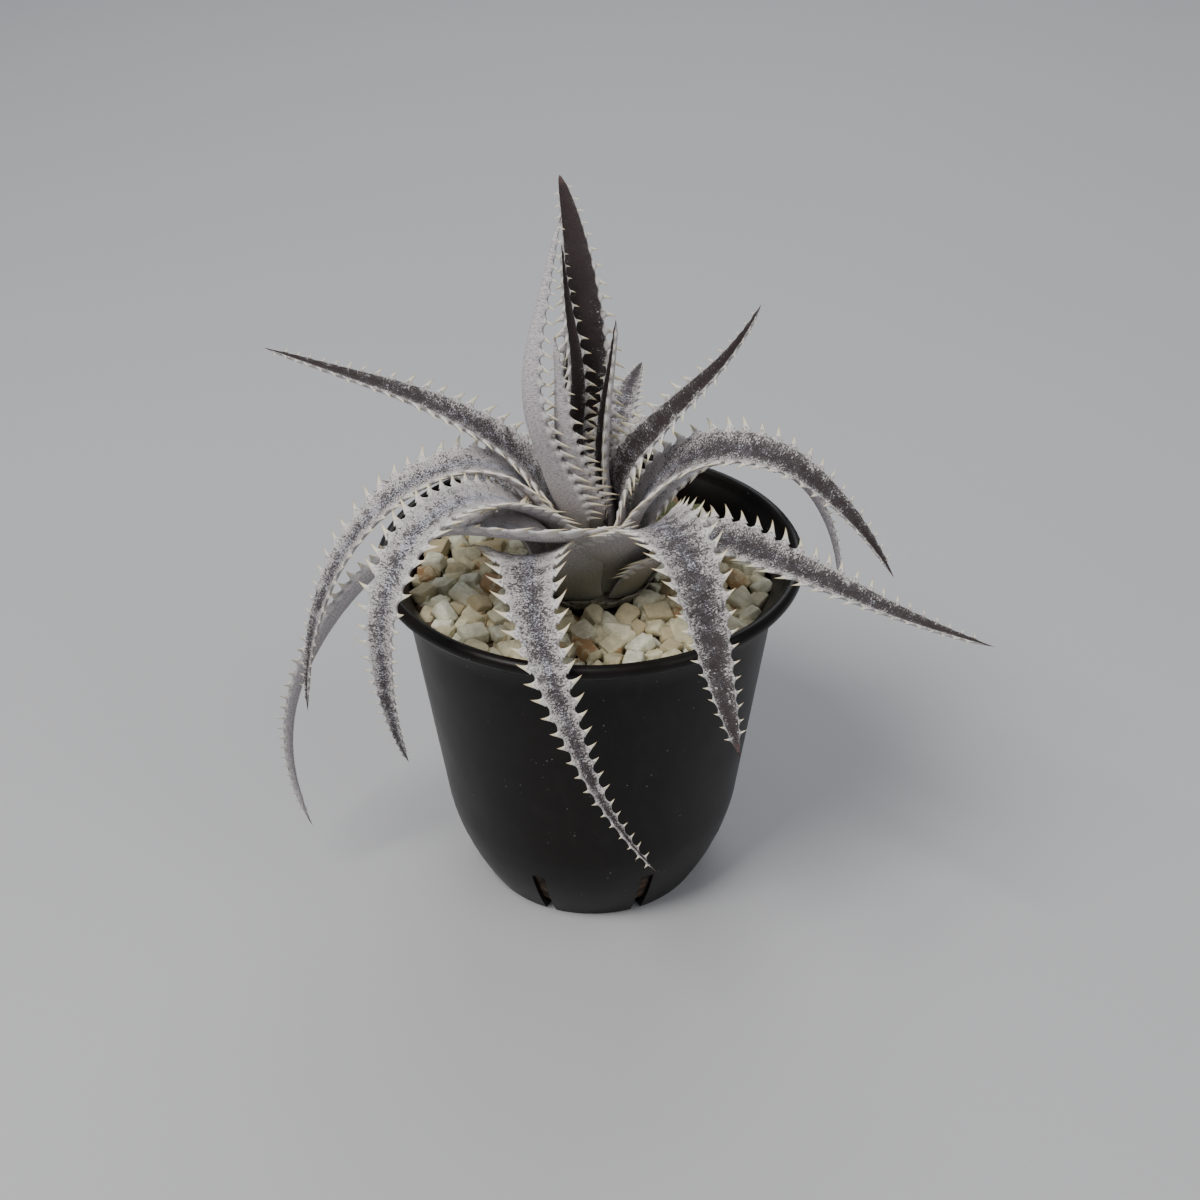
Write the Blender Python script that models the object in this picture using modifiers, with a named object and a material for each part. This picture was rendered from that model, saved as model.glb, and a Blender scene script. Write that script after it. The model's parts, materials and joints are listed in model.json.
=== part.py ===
"""Potted dyckia: a spiny silver rosette in a round black nursery pot, top-dressed with gravel.

Metres, +Z up. The origin is the centre of the pot's flat underside, and the plant's
front, where its leaves hang over the rim, faces -Y.
"""
import math
import random
from dataclasses import dataclass

import bmesh
import bpy
import numpy as np
from mathutils import Vector
from mathutils.geometry import delaunay_2d_cdt

# Pot
RIM_RADIUS = 0.0525
POT_HEIGHT = 0.093
LIP_HEIGHT = 0.0036
LIP_INNER_RADIUS = 0.0494
WALL_THICKNESS = 0.0013
COLLAR_DROP = 0.0072
WALL_TOP_RADIUS = 0.0462
SHOULDER_RADIUS = 0.0376
SHOULDER_HEIGHT = 0.0235
SHOULDER_BULGE = 0.0012
FOOT_RADIUS = 0.0285
POT_SIDES = 48
SLIT_COUNT = 8
SLIT_WIDTH = 0.0032
SLIT_HEIGHT = 0.019
SLIT_START_RADIUS = 0.0225
GAP = 0.0003

# Soil, gravel and stem
SOIL_TOP = 0.0825
GRAVEL_CREASE = 0.0840
GRAVEL_INNER_RADIUS = 0.0160
STONE_PITCH = 0.0062
STONE_RISE = 0.0022
STONE_SEED = 11
STEM_ROD_RADIUS = 0.0050
STEM_BOTTOM = 0.0600
STEM_SIDES = 36
OLD_BASES = ((20, 0.0020), (60, 0.0028), (108, 0.0022), (150, 0.0028), (196, 0.0020),
             (232, 0.0024), (268, 0.0028), (306, 0.0024), (346, 0.0030))
OLD_BASE_HALF_SPAN = 27
OLD_BASE_LOWEST = 0.0008
OLD_BASE_RADIUS = 0.0145
OLD_BASE_FLARE = 0.62
OLD_BASE_THICKNESS = 0.0007

# Rosette: the leaf bases nest in layers round the stem's cone, outermost first
OUTER_BASE_RADIUS = 0.0132
LAYER_STEP = 0.00145
OUTER_BASE_HEIGHT = 0.0860
LAYER_RISE = 0.0016
LAST_LAYER = 7
SHEATH_THICKNESS = 0.0009
BLADE_THICKNESS = 0.0019
MARGIN_THICKNESS = 0.0008
SPINE_PITCH = 0.0060
SPINE_LENGTH = 0.0040
BARE_BASE = 0.012
SHEATH_SHARE = 0.28
FLARE_SHARE = 0.13
FLARE_END = 0.34
ROLL_SHARE = 0.35
TIP_SHARE = 0.955
HOOK_SHARE = 0.30
PITCH_KNOTS = (0.0, 0.15, 0.4, 0.7, 1.0)
CENTRELINE_STEPS = 120


@dataclass(frozen=True)
class Leaf:
    """One leaf: where it is rooted, how it bends, and its size in metres and degrees."""

    name: str
    layer: int
    azimuth: float
    sweep: float
    length: float
    width: float
    pitches: tuple
    twist: float = 0.0
    hook: float = 0.0
    taper: float = 1.0
    clasp: float = 40.0
    channel: float = 22.0
    roll: float = 0.0
    flare: float = 0.0015
    lean: float = 0.0


LEAVES = (
    Leaf("leaf_01", 0, 324, 2, 0.104, 0.0165, (62, 52, -5, -7, 2), clasp=36, roll=10),
    Leaf("leaf_02", 0, 236, 109, 0.117, 0.0175, (53, 60, -32, -59, -45), twist=35, taper=1.15,
         clasp=48, roll=-4, flare=0.0044, lean=-9),
    Leaf("leaf_03", 0, 137, 5, 0.096, 0.0150, (66, 25, -12, -45, -60), clasp=34),
    Leaf("leaf_04", 1, 295, -9, 0.106, 0.0215, (80, 54, 30, -53, -36), twist=7, taper=0.75,
         clasp=54, roll=6, flare=0.0048, lean=-5),
    Leaf("leaf_05", 1, 87, 5, 0.096, 0.0150, (70, 32, -7, -45, -56), clasp=36),
    Leaf("leaf_06", 2, 266, 28, 0.165, 0.0190, (84, 29, -41, -68, -110), twist=-5, hook=-111,
         clasp=55, roll=21, flare=0.0042, lean=18),
    Leaf("leaf_07", 2, 28, -2, 0.105, 0.0115, (75, 46, -18, -59, -87), twist=-2, clasp=38,
         flare=0.0018, lean=-2),
    Leaf("leaf_08", 2, 124, 4, 0.052, 0.0140, (86, 62, 16, -9, -20), clasp=38),
    Leaf("leaf_09", 3, 219, 35, 0.133, 0.0165, (89, 47, 7, -89, -120), twist=2, clasp=31, roll=-6,
         flare=0.0006, lean=2),
    Leaf("leaf_10", 3, 347, -26, 0.098, 0.0205, (82, 72, 29, -28, -53), twist=-2, roll=17, flare=0.0009),
    Leaf("leaf_11", 4, 188, 35, 0.119, 0.0165, (81, 62, -16, -61, -90), twist=-3, roll=1,
         flare=0.0006, lean=-6),
    Leaf("leaf_12", 4, 76, 4, 0.072, 0.0150, (65, 67, 9, -3, -12), twist=-3, roll=1),
    Leaf("leaf_13", 5, 181, -5, 0.093, 0.0150, (81, 69, 34, 19, 18), twist=-3, clasp=42, roll=-10),
    Leaf("leaf_14", 5, 98, 14, 0.092, 0.0167, (60, 80, 107, 72, 45), twist=-6, taper=0.63,
         clasp=34, channel=16, lean=-6),
    Leaf("leaf_15", 5, 350, 11, 0.076, 0.0120, (63, 102, 50, 47, 66), clasp=42, channel=16, roll=35),
    Leaf("leaf_16", 6, 231, -11, 0.091, 0.0120, (80, 68, 69, 107, 108), twist=-3, clasp=32,
         channel=32, roll=-2),
    Leaf("leaf_17", 6, 128, 1, 0.075, 0.0090, (86, 78, 104, 76, 86), twist=-2, clasp=38, lean=12),
    Leaf("leaf_18", 6, 14, 13, 0.058, 0.0080, (77, 104, 89, 80, 84), clasp=44),
    Leaf("leaf_19", 7, 254, -28, 0.062, 0.0105, (86, 70, 67, 86, 82), clasp=48, channel=32),
)


def material(name, colour, roughness, metallic=0.0):
    """A plain Principled finish."""
    made = bpy.data.materials.new(name)
    made.use_nodes = True
    shader = made.node_tree.nodes["Principled BSDF"]
    shader.inputs["Base Color"].default_value = (*colour, 1.0)
    shader.inputs["Roughness"].default_value = roughness
    shader.inputs["Metallic"].default_value = metallic
    return made


def collection(name):
    made = bpy.data.collections.new(name)
    bpy.context.scene.collection.children.link(made)
    return made


def add_object(name, mesh, finish, group):
    made = bpy.data.objects.new(name, mesh)
    made.data.materials.append(finish)
    group.objects.link(made)
    return made


def smoothstep(t):
    t = min(1.0, max(0.0, t))
    return t * t * (3 - 2 * t)


def turned(name, profile, sides, finish, group):
    """Turns a profile of (radius, height) points, listed down its outer side, round Z."""
    mesh = bpy.data.meshes.new(name)
    points = [(radius, 0.0, height) for radius, height in profile]
    mesh.from_pydata(points, [(i, i + 1) for i in range(len(points) - 1)], [])
    made = add_object(name, mesh, finish, group)
    screw = made.modifiers.new("turn", "SCREW")
    screw.axis = "Z"
    screw.angle = math.tau
    screw.steps = sides
    screw.render_steps = sides
    screw.use_merge_vertices = True
    screw.merge_threshold = 0.00001
    return made


def shoulder_curve(inset, steps=5):
    """Points down the pot's curved-in shoulder, from the wall to the foot, moved in by inset."""
    points = []
    for i in range(steps + 1):
        t = i / steps
        bulge = SHOULDER_BULGE * 4 * t * (1 - t)
        radius = SHOULDER_RADIUS + (FOOT_RADIUS - SHOULDER_RADIUS) * t + bulge
        height = SHOULDER_HEIGHT * (1 - t) + (inset if t == 1 else 0)
        points.append((radius - inset, height))
    return points


def wall_radius(height):
    """The pot's outer radius on its tapered wall."""
    top = POT_HEIGHT - COLLAR_DROP
    share = (height - SHOULDER_HEIGHT) / (top - SHOULDER_HEIGHT)
    return SHOULDER_RADIUS + (WALL_TOP_RADIUS - SHOULDER_RADIUS) * share


def pot(finish, group, cutters):
    """The pot: a rolled lip over a collar, a tapered wall, and a shoulder cut by drain slits."""
    collar = POT_HEIGHT - COLLAR_DROP
    lip_low = POT_HEIGHT - LIP_HEIGHT
    crest = (RIM_RADIUS + LIP_INNER_RADIUS) / 2
    outside = [
        (LIP_INNER_RADIUS, POT_HEIGHT - 0.0006),
        (crest - 0.0004, POT_HEIGHT),
        (crest + 0.0006, POT_HEIGHT),
        (RIM_RADIUS - 0.0003, POT_HEIGHT - 0.0008),
        (RIM_RADIUS, POT_HEIGHT - 0.0018),
        (RIM_RADIUS - 0.0003, lip_low + 0.0003),
        (RIM_RADIUS - 0.0012, lip_low),
        (LIP_INNER_RADIUS + 0.0004, lip_low + 0.0002),
        (WALL_TOP_RADIUS + 0.0008, collar + 0.0008),
        (WALL_TOP_RADIUS, collar),
    ]
    outside += shoulder_curve(0.0)
    inside = [(radius, height) for radius, height in reversed(shoulder_curve(WALL_THICKNESS))]
    inside += [
        (WALL_TOP_RADIUS - WALL_THICKNESS, collar + 0.0004),
        (LIP_INNER_RADIUS - 0.0010, lip_low + 0.0008),
    ]
    profile = outside + [(0.0, 0.0), (0.0, WALL_THICKNESS)] + inside + [outside[0]]
    made = turned("pot", profile, POT_SIDES, finish, group)
    for i in range(SLIT_COUNT):
        angle = math.tau * (i + 0.5) / SLIT_COUNT
        reach = SHOULDER_RADIUS + 0.004 - SLIT_START_RADIUS
        bpy.ops.mesh.primitive_cube_add(size=1.0)
        cutter = bpy.context.object
        cutter.name = f"slit_cutter_{i + 1}"
        cutter.scale = (reach, SLIT_WIDTH, SLIT_HEIGHT + 0.002)
        middle = SLIT_START_RADIUS + reach / 2
        cutter.location = (
            middle * math.cos(angle), middle * math.sin(angle), SLIT_HEIGHT / 2 - 0.001)
        cutter.rotation_euler = (0.0, 0.0, angle)
        cutter.display_type = "WIRE"
        cutter.hide_render = True
        for home in list(cutter.users_collection):
            home.objects.unlink(cutter)
        cutters.objects.link(cutter)
    slits = made.modifiers.new("slits", "BOOLEAN")
    slits.operand_type = "COLLECTION"
    slits.collection = cutters
    return made


def potting_mix(finish, group):
    """The soil: it fills the pot to just under the gravel, with a plain hole for the stem."""
    inset = WALL_THICKNESS + GAP
    hole = STEM_ROD_RADIUS + GAP
    profile = [
        (0.0, STEM_BOTTOM - GAP),
        (hole, STEM_BOTTOM - GAP),
        (hole, SOIL_TOP),
        (wall_radius(SOIL_TOP) - inset, SOIL_TOP),
    ]
    profile += shoulder_curve(inset)
    profile.append((0.0, inset))
    return turned("potting_mix", profile, POT_SIDES, finish, group)


def old_base_height(angle):
    """How far the torn old leaf bases stand up round the stem at an angle in degrees."""
    reach = 0.0
    for azimuth, height in OLD_BASES:
        away = (angle - azimuth + 180) % 360 - 180
        share = abs(away) / OLD_BASE_HALF_SPAN
        if share < 1:
            reach = max(reach, height * (1 - share**2) ** 0.7)
    return OLD_BASE_LOWEST + reach


def stem(finish, group):
    """The short stem: a rod in the soil, a cone that carries the leaves, and round its foot
    the torn bases of old leaves, standing up like a low cup."""
    flange_top = OUTER_BASE_HEIGHT - 0.0007
    bm = bmesh.new()
    columns = []
    for i in range(STEM_SIDES):
        angle = math.tau * i / STEM_SIDES
        height = old_base_height(math.degrees(angle))
        inner = OLD_BASE_RADIUS + OLD_BASE_FLARE * height
        profile = [
            (layer_radius(LAST_LAYER) - GAP - 0.0002, layer_height(LAST_LAYER)),
            (OUTER_BASE_RADIUS - GAP - 0.0002, OUTER_BASE_HEIGHT - 0.0002),
            (OLD_BASE_RADIUS, flange_top),
            (inner, flange_top + height),
            (inner + OLD_BASE_THICKNESS, flange_top + height - 0.0003),
            (OLD_BASE_RADIUS + 0.0009, flange_top - 0.0006),
            (OLD_BASE_RADIUS - 0.0012, SOIL_TOP + 0.0012),
            (STEM_ROD_RADIUS, SOIL_TOP + GAP),
            (STEM_ROD_RADIUS, STEM_BOTTOM),
        ]
        columns.append([
            bm.verts.new((radius * math.cos(angle), radius * math.sin(angle), z))
            for radius, z in profile
        ])
    top = bm.verts.new((0.0, 0.0, layer_height(LAST_LAYER) + 0.0008))
    bottom = bm.verts.new((0.0, 0.0, STEM_BOTTOM))
    for left, right in zip(columns, columns[1:] + columns[:1]):
        bm.faces.new((top, left[0], right[0]))
        bm.faces.new((bottom, right[-1], left[-1]))
        for upper in range(len(left) - 1):
            bm.faces.new((left[upper], left[upper + 1], right[upper + 1], right[upper]))
    bmesh.ops.recalc_face_normals(bm, faces=bm.faces)
    mesh = bpy.data.meshes.new("stem")
    bm.to_mesh(mesh)
    bm.free()
    return add_object("stem", mesh, finish, group)


def ring_points(radius, count):
    angles = [math.tau * i / count for i in range(count)]
    return [Vector((radius * math.cos(a), radius * math.sin(a))) for a in angles]


def gravel(finish, group):
    """The top dressing: one slab whose upper face is raised into packed, tilted stones."""
    draw = random.Random(STONE_SEED)
    bottom = SOIL_TOP + GAP
    outer = wall_radius(SOIL_TOP) - WALL_THICKNESS - GAP
    rims = [(GRAVEL_INNER_RADIUS, 20), (outer, 48)]
    points, heights, edges = [], [], []
    for radius, count in rims:
        first = len(points)
        points += ring_points(radius, count)
        heights += [GRAVEL_CREASE] * count
        edges += [(first + i, first + (i + 1) % count) for i in range(count)]
    row_step = STONE_PITCH * math.sqrt(3) / 2
    rows = int(outer / row_step) + 1
    for row in range(-rows, rows + 1):
        for column in range(-rows - 1, rows + 2):
            shift = 0.5 if row % 2 else 0.0
            centre = Vector(((column + shift) * STONE_PITCH, row * row_step))
            centre += Vector((draw.uniform(-1, 1), draw.uniform(-1, 1))) * STONE_PITCH * 0.10
            size = STONE_PITCH * draw.uniform(0.34, 0.40)
            rise = STONE_RISE * draw.uniform(0.55, 1.2)
            tilt = Vector((draw.uniform(-1, 1), draw.uniform(-1, 1))) * 0.22
            turn = draw.uniform(0, math.tau)
            room = size + 0.0005
            if not GRAVEL_INNER_RADIUS + room < centre.length < outer - room:
                continue
            first = len(points)
            corners = draw.choice((5, 5, 6))
            for i in range(corners):
                angle = turn + math.tau * i / corners
                reach = size * draw.uniform(0.85, 1.08)
                offset = Vector((math.cos(angle), math.sin(angle))) * reach
                points.append(centre + offset)
                heights.append(GRAVEL_CREASE + rise + offset.dot(tilt))
            edges += [(first + i, first + (i + 1) % corners) for i in range(corners)]
            for third in (0, 1):
                angle = math.pi / 6 + math.pi / 3 * third
                low = centre + Vector((math.cos(angle), math.sin(angle))) * STONE_PITCH * 0.577
                if GRAVEL_INNER_RADIUS + 0.001 < low.length < outer - 0.001:
                    points.append(low)
                    heights.append(GRAVEL_CREASE)
    flat = delaunay_2d_cdt(points, edges, [], 0, 1e-6)
    verts, faces, origins = flat[0], flat[2], flat[3]
    bm = bmesh.new()
    made = []
    for vert, sources in zip(verts, origins):
        height = heights[sources[0]] if sources else GRAVEL_CREASE
        made.append(bm.verts.new((vert.x, vert.y, height)))
    for face in faces:
        middle = sum((verts[i] for i in face), Vector((0, 0))) / len(face)
        if middle.length > GRAVEL_INNER_RADIUS * 0.99:
            bm.faces.new([made[i] for i in face])
    loose = [vert for vert in bm.verts if not vert.link_faces]
    bmesh.ops.delete(bm, geom=loose, context="VERTS")
    rim_edges = [edge for edge in bm.edges if edge.is_boundary]
    skirt = bmesh.ops.extrude_edge_only(bm, edges=rim_edges)["geom"]
    lowered = [item for item in skirt if isinstance(item, bmesh.types.BMVert)]
    for vert in lowered:
        vert.co.z = bottom
    low_edges = [edge for edge in bm.edges if edge.is_boundary]
    bmesh.ops.triangle_fill(bm, edges=low_edges, use_beauty=True)
    bmesh.ops.recalc_face_normals(bm, faces=bm.faces)
    mesh = bpy.data.meshes.new("gravel")
    bm.to_mesh(mesh)
    bm.free()
    return add_object("gravel", mesh, finish, group)


def layer_radius(layer):
    return OUTER_BASE_RADIUS - LAYER_STEP * layer


def layer_height(layer):
    return OUTER_BASE_HEIGHT + LAYER_RISE * layer


def shoulder(share):
    """A rise from 0 at a leaf's base to 1 where its sheath ends, and back to 0 on the blade."""
    closed = smoothstep((share - FLARE_SHARE) / (FLARE_END - FLARE_SHARE))
    return smoothstep(share / FLARE_SHARE) * (1 - closed)


def leaf_spread(leaf, share):
    """Half a leaf's width round its channel, and half the channel's angle."""
    full = leaf.width * (1 - share) ** leaf.taper
    grown = smoothstep(share / SHEATH_SHARE)
    base_half = layer_radius(leaf.layer) * math.radians(leaf.clasp)
    half = base_half + (full / 2 - base_half) * grown + leaf.flare * shoulder(share)
    return half, math.radians(leaf.clasp + (leaf.channel - leaf.clasp) * grown)


def centreline(leaf, shares):
    """Points, tangents and side directions at the given shares of a leaf's length."""
    fine = np.linspace(0.0, 1.0, CENTRELINE_STEPS + 1)
    pitch = np.radians(np.interp(fine, PITCH_KNOTS, leaf.pitches))
    early = np.array([smoothstep(share / HOOK_SHARE) for share in fine])
    heading = np.radians(leaf.azimuth + leaf.sweep * fine + leaf.hook * early)
    step = np.stack(
        [np.cos(pitch) * np.cos(heading), np.cos(pitch) * np.sin(heading), np.sin(pitch)], -1)
    start = math.radians(leaf.azimuth)
    radius = layer_radius(leaf.layer)
    path = np.zeros_like(step)
    path[0] = (radius * math.cos(start), radius * math.sin(start), layer_height(leaf.layer))
    path[1:] = path[0] + np.cumsum((step[1:] + step[:-1]) / 2, 0) * leaf.length / CENTRELINE_STEPS
    out = []
    for share in shares:
        point = Vector([float(np.interp(share, fine, path[:, i])) for i in range(3)])
        tangent = Vector([float(np.interp(share, fine, step[:, i])) for i in range(3)]).normalized()
        turn = float(np.interp(share, fine, heading))
        side = Vector((-math.sin(turn), math.cos(turn), 0.0))
        up = tangent.cross(side).normalized()
        roll = leaf.twist * share + leaf.roll * smoothstep(share / ROLL_SHARE)
        roll = math.radians(roll + leaf.lean * shoulder(share))
        side, up = (
            side * math.cos(roll) + up * math.sin(roll),
            up * math.cos(roll) - side * math.sin(roll),
        )
        out.append((point, tangent, side, up))
    return out


def section(leaf, share, place):
    """Eight points round a leaf: four across its channelled upper side, four below."""
    point, _, side, up = place
    grown = smoothstep(share / SHEATH_SHARE)
    half, spread = leaf_spread(leaf, share)
    bend = half / spread
    slim = 1 - 0.55 * smoothstep((share - 0.5) / 0.5)
    middle = (SHEATH_THICKNESS + (BLADE_THICKNESS - SHEATH_THICKNESS) * grown) * slim
    centre = point + up * bend

    def on_arc(angle, depth):
        outward = side * math.sin(angle) - up * math.cos(angle)
        return centre + outward * (bend + depth)

    upper = [on_arc(spread * u, 0.0) for u in (-1.0, -0.38, 0.38, 1.0)]
    lower = [on_arc(spread * u, d) for u, d in
             ((0.98, MARGIN_THICKNESS), (0.38, middle), (-0.38, middle), (-0.98, MARGIN_THICKNESS))]
    return upper + lower


def spine_lean(share):
    """How far a spine leans along its leaf: back near the base, forward near the tip."""
    return -0.55 + 1.1 * share


def leaf_shares(leaf):
    """The shares of the length where sections stand: two for each spine, past a plain sheath."""
    spines = round((leaf.length * TIP_SHARE - BARE_BASE) / SPINE_PITCH)
    first = BARE_BASE / leaf.length
    stations = 2 * spines
    toothed = [first + (TIP_SHARE - first) * i / stations for i in range(stations + 1)]
    return [0.0, first / 2] + toothed


def leaf_solid(leaf, finish, group):
    """One leaf: a channelled loft from sheath to tip, with a spine drawn out of every
    second quad of each margin."""
    shares = leaf_shares(leaf)
    places = centreline(leaf, shares + [1.0])
    bm = bmesh.new()
    rings = []
    for share, place in zip(shares, places):
        rings.append([bm.verts.new(point) for point in section(leaf, share, place)])
    tip = bm.verts.new(places[-1][0])
    ring_size = len(rings[0])
    margins = []
    for i, (low, high) in enumerate(zip(rings, rings[1:])):
        for j in range(ring_size):
            k = (j + 1) % ring_size
            face = bm.faces.new((low[j], low[k], high[k], high[j]))
            if i >= 2 and i % 2 == 0 and j in (3, 7):
                margins.append((face, i, 1 if j == 3 else -1))
    for j in range(ring_size):
        bm.faces.new((rings[-1][j], rings[-1][(j + 1) % ring_size], tip))
    base = rings[0]
    for j in range(3):
        bm.faces.new((base[j + 1], base[j], base[7 - j], base[6 - j]))
    for face, i, hand in margins:
        share = (shares[i] + shares[i + 1]) / 2
        _, tangent, side, up = places[i]
        spread = leaf_spread(leaf, share)[1]
        outward = side * (math.cos(spread) * hand) + up * math.sin(spread)
        reach = SPINE_LENGTH * (1 - 0.55 * smoothstep((share - 0.35) / 0.65))
        made = bmesh.ops.poke(bm, faces=[face])["verts"][0]
        made.co += (outward + tangent * spine_lean(share)).normalized() * reach
    bmesh.ops.recalc_face_normals(bm, faces=bm.faces)
    mesh = bpy.data.meshes.new(leaf.name)
    bm.to_mesh(mesh)
    bm.free()
    return add_object(leaf.name, mesh, finish, group)


def main():
    for old in list(bpy.data.objects):
        bpy.data.objects.remove(old)
    group = collection("dyckia_bromeliad")
    cutters = collection("cutters")
    pot(material("pot_plastic", (0.012, 0.012, 0.013), 0.45), group, cutters)
    potting_mix(material("potting_mix", (0.06, 0.045, 0.035), 0.95), group)
    gravel(material("gravel", (0.62, 0.58, 0.47), 0.85), group)
    stem(material("stem", (0.33, 0.30, 0.25), 0.8), group)
    silver = material("leaf_silver", (0.47, 0.44, 0.47), 0.7)
    for leaf in LEAVES:
        leaf_solid(leaf, silver, group)


main()
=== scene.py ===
"""Looks of a potted dyckia: a spiny silver rosette in a round black nursery pot under gravel.

Metres, +Z up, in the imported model's own frame: the origin is the centre of the pot's flat
underside, and the side where the leaves hang over the rim faces -Y.
"""

import json
import logging
import math
import random
from dataclasses import dataclass, field
from enum import Enum

import bmesh
import bpy
import numpy as np
from mathutils import Matrix, Vector

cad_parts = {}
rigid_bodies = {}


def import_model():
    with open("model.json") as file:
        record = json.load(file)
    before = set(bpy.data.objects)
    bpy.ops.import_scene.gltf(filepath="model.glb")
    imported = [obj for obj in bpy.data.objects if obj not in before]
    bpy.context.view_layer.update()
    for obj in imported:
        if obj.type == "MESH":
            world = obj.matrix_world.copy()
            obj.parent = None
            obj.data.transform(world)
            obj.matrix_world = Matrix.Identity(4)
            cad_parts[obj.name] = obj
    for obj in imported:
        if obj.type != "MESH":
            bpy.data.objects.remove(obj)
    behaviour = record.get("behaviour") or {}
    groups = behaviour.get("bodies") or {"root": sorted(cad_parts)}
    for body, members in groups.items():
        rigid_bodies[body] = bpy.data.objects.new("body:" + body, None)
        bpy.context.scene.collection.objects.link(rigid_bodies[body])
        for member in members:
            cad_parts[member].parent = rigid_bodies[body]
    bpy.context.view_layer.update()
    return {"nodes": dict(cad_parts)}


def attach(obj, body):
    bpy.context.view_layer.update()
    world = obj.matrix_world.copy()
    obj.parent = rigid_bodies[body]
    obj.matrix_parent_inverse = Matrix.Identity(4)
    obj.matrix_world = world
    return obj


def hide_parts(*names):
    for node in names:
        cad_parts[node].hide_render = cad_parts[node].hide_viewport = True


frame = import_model()

LOG = logging.getLogger("dyckia")
Colour = tuple[float, float, float]
Scales = tuple[float, float, float]
Band = tuple[float, float]
MM = 0.001


class Hand(Enum):
    """The two margins of a leaf, seen from above with the tip away."""

    LEFT = 1
    RIGHT = -1


class Layer(Enum):
    """The beds of the top dressing, lowest first."""

    BED = 0
    FILL = 1
    TOP = 2


def smoothstep(value: np.ndarray | float) -> np.ndarray | float:
    """Ease from 0 to 1.

    Args:
        value: Shares, clipped to 0 and 1.

    Returns:
        The eased shares.
    """
    share = np.clip(value, 0.0, 1.0)
    return share * share * (3 - 2 * share)


def darker(colour: Colour, share: float) -> Colour:
    """Multiply a colour's channels by a share."""
    return tuple(channel * share for channel in colour)


def mesh_object(name: str, mesh: bpy.types.Mesh) -> bpy.types.Object:
    """Put a mesh in the scene.

    Args:
        name: The object's name.
        mesh: Its mesh, in place.

    Returns:
        The new object, at the origin.
    """
    made = bpy.data.objects.new(name, mesh)
    bpy.context.scene.collection.objects.link(made)
    return made


def mesh_from(bm: bmesh.types.BMesh, name: str) -> bpy.types.Mesh:
    """Write an edited mesh out and free it.

    Args:
        bm: The edited mesh.
        name: The new mesh's name.

    Returns:
        The mesh.
    """
    mesh = bpy.data.meshes.new(name)
    bm.to_mesh(mesh)
    bm.free()
    return mesh


def baked(piece: bpy.types.Object) -> bpy.types.Object:
    """Turn an object's live modifiers into plain mesh.

    Args:
        piece: An object with modifiers.

    Returns:
        The same object, with the result as its own mesh and no modifiers.
    """
    graph = bpy.context.evaluated_depsgraph_get()
    mesh = bpy.data.meshes.new_from_object(piece.evaluated_get(graph), depsgraph=graph)
    piece.modifiers.clear()
    old = piece.data
    piece.data = mesh
    bpy.data.meshes.remove(old)
    return piece


def set_input(modifier: bpy.types.Modifier, name: str, value: object) -> None:
    """Give a Geometry Nodes modifier's input a value.

    Args:
        modifier: The modifier, with its tree set.
        name: The input's name in the tree.
        value: What it is set to.
    """
    for item in modifier.node_group.interface.items_tree:
        if item.item_type == "SOCKET" and item.in_out == "INPUT" and item.name == name:
            modifier[item.identifier] = value


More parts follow.
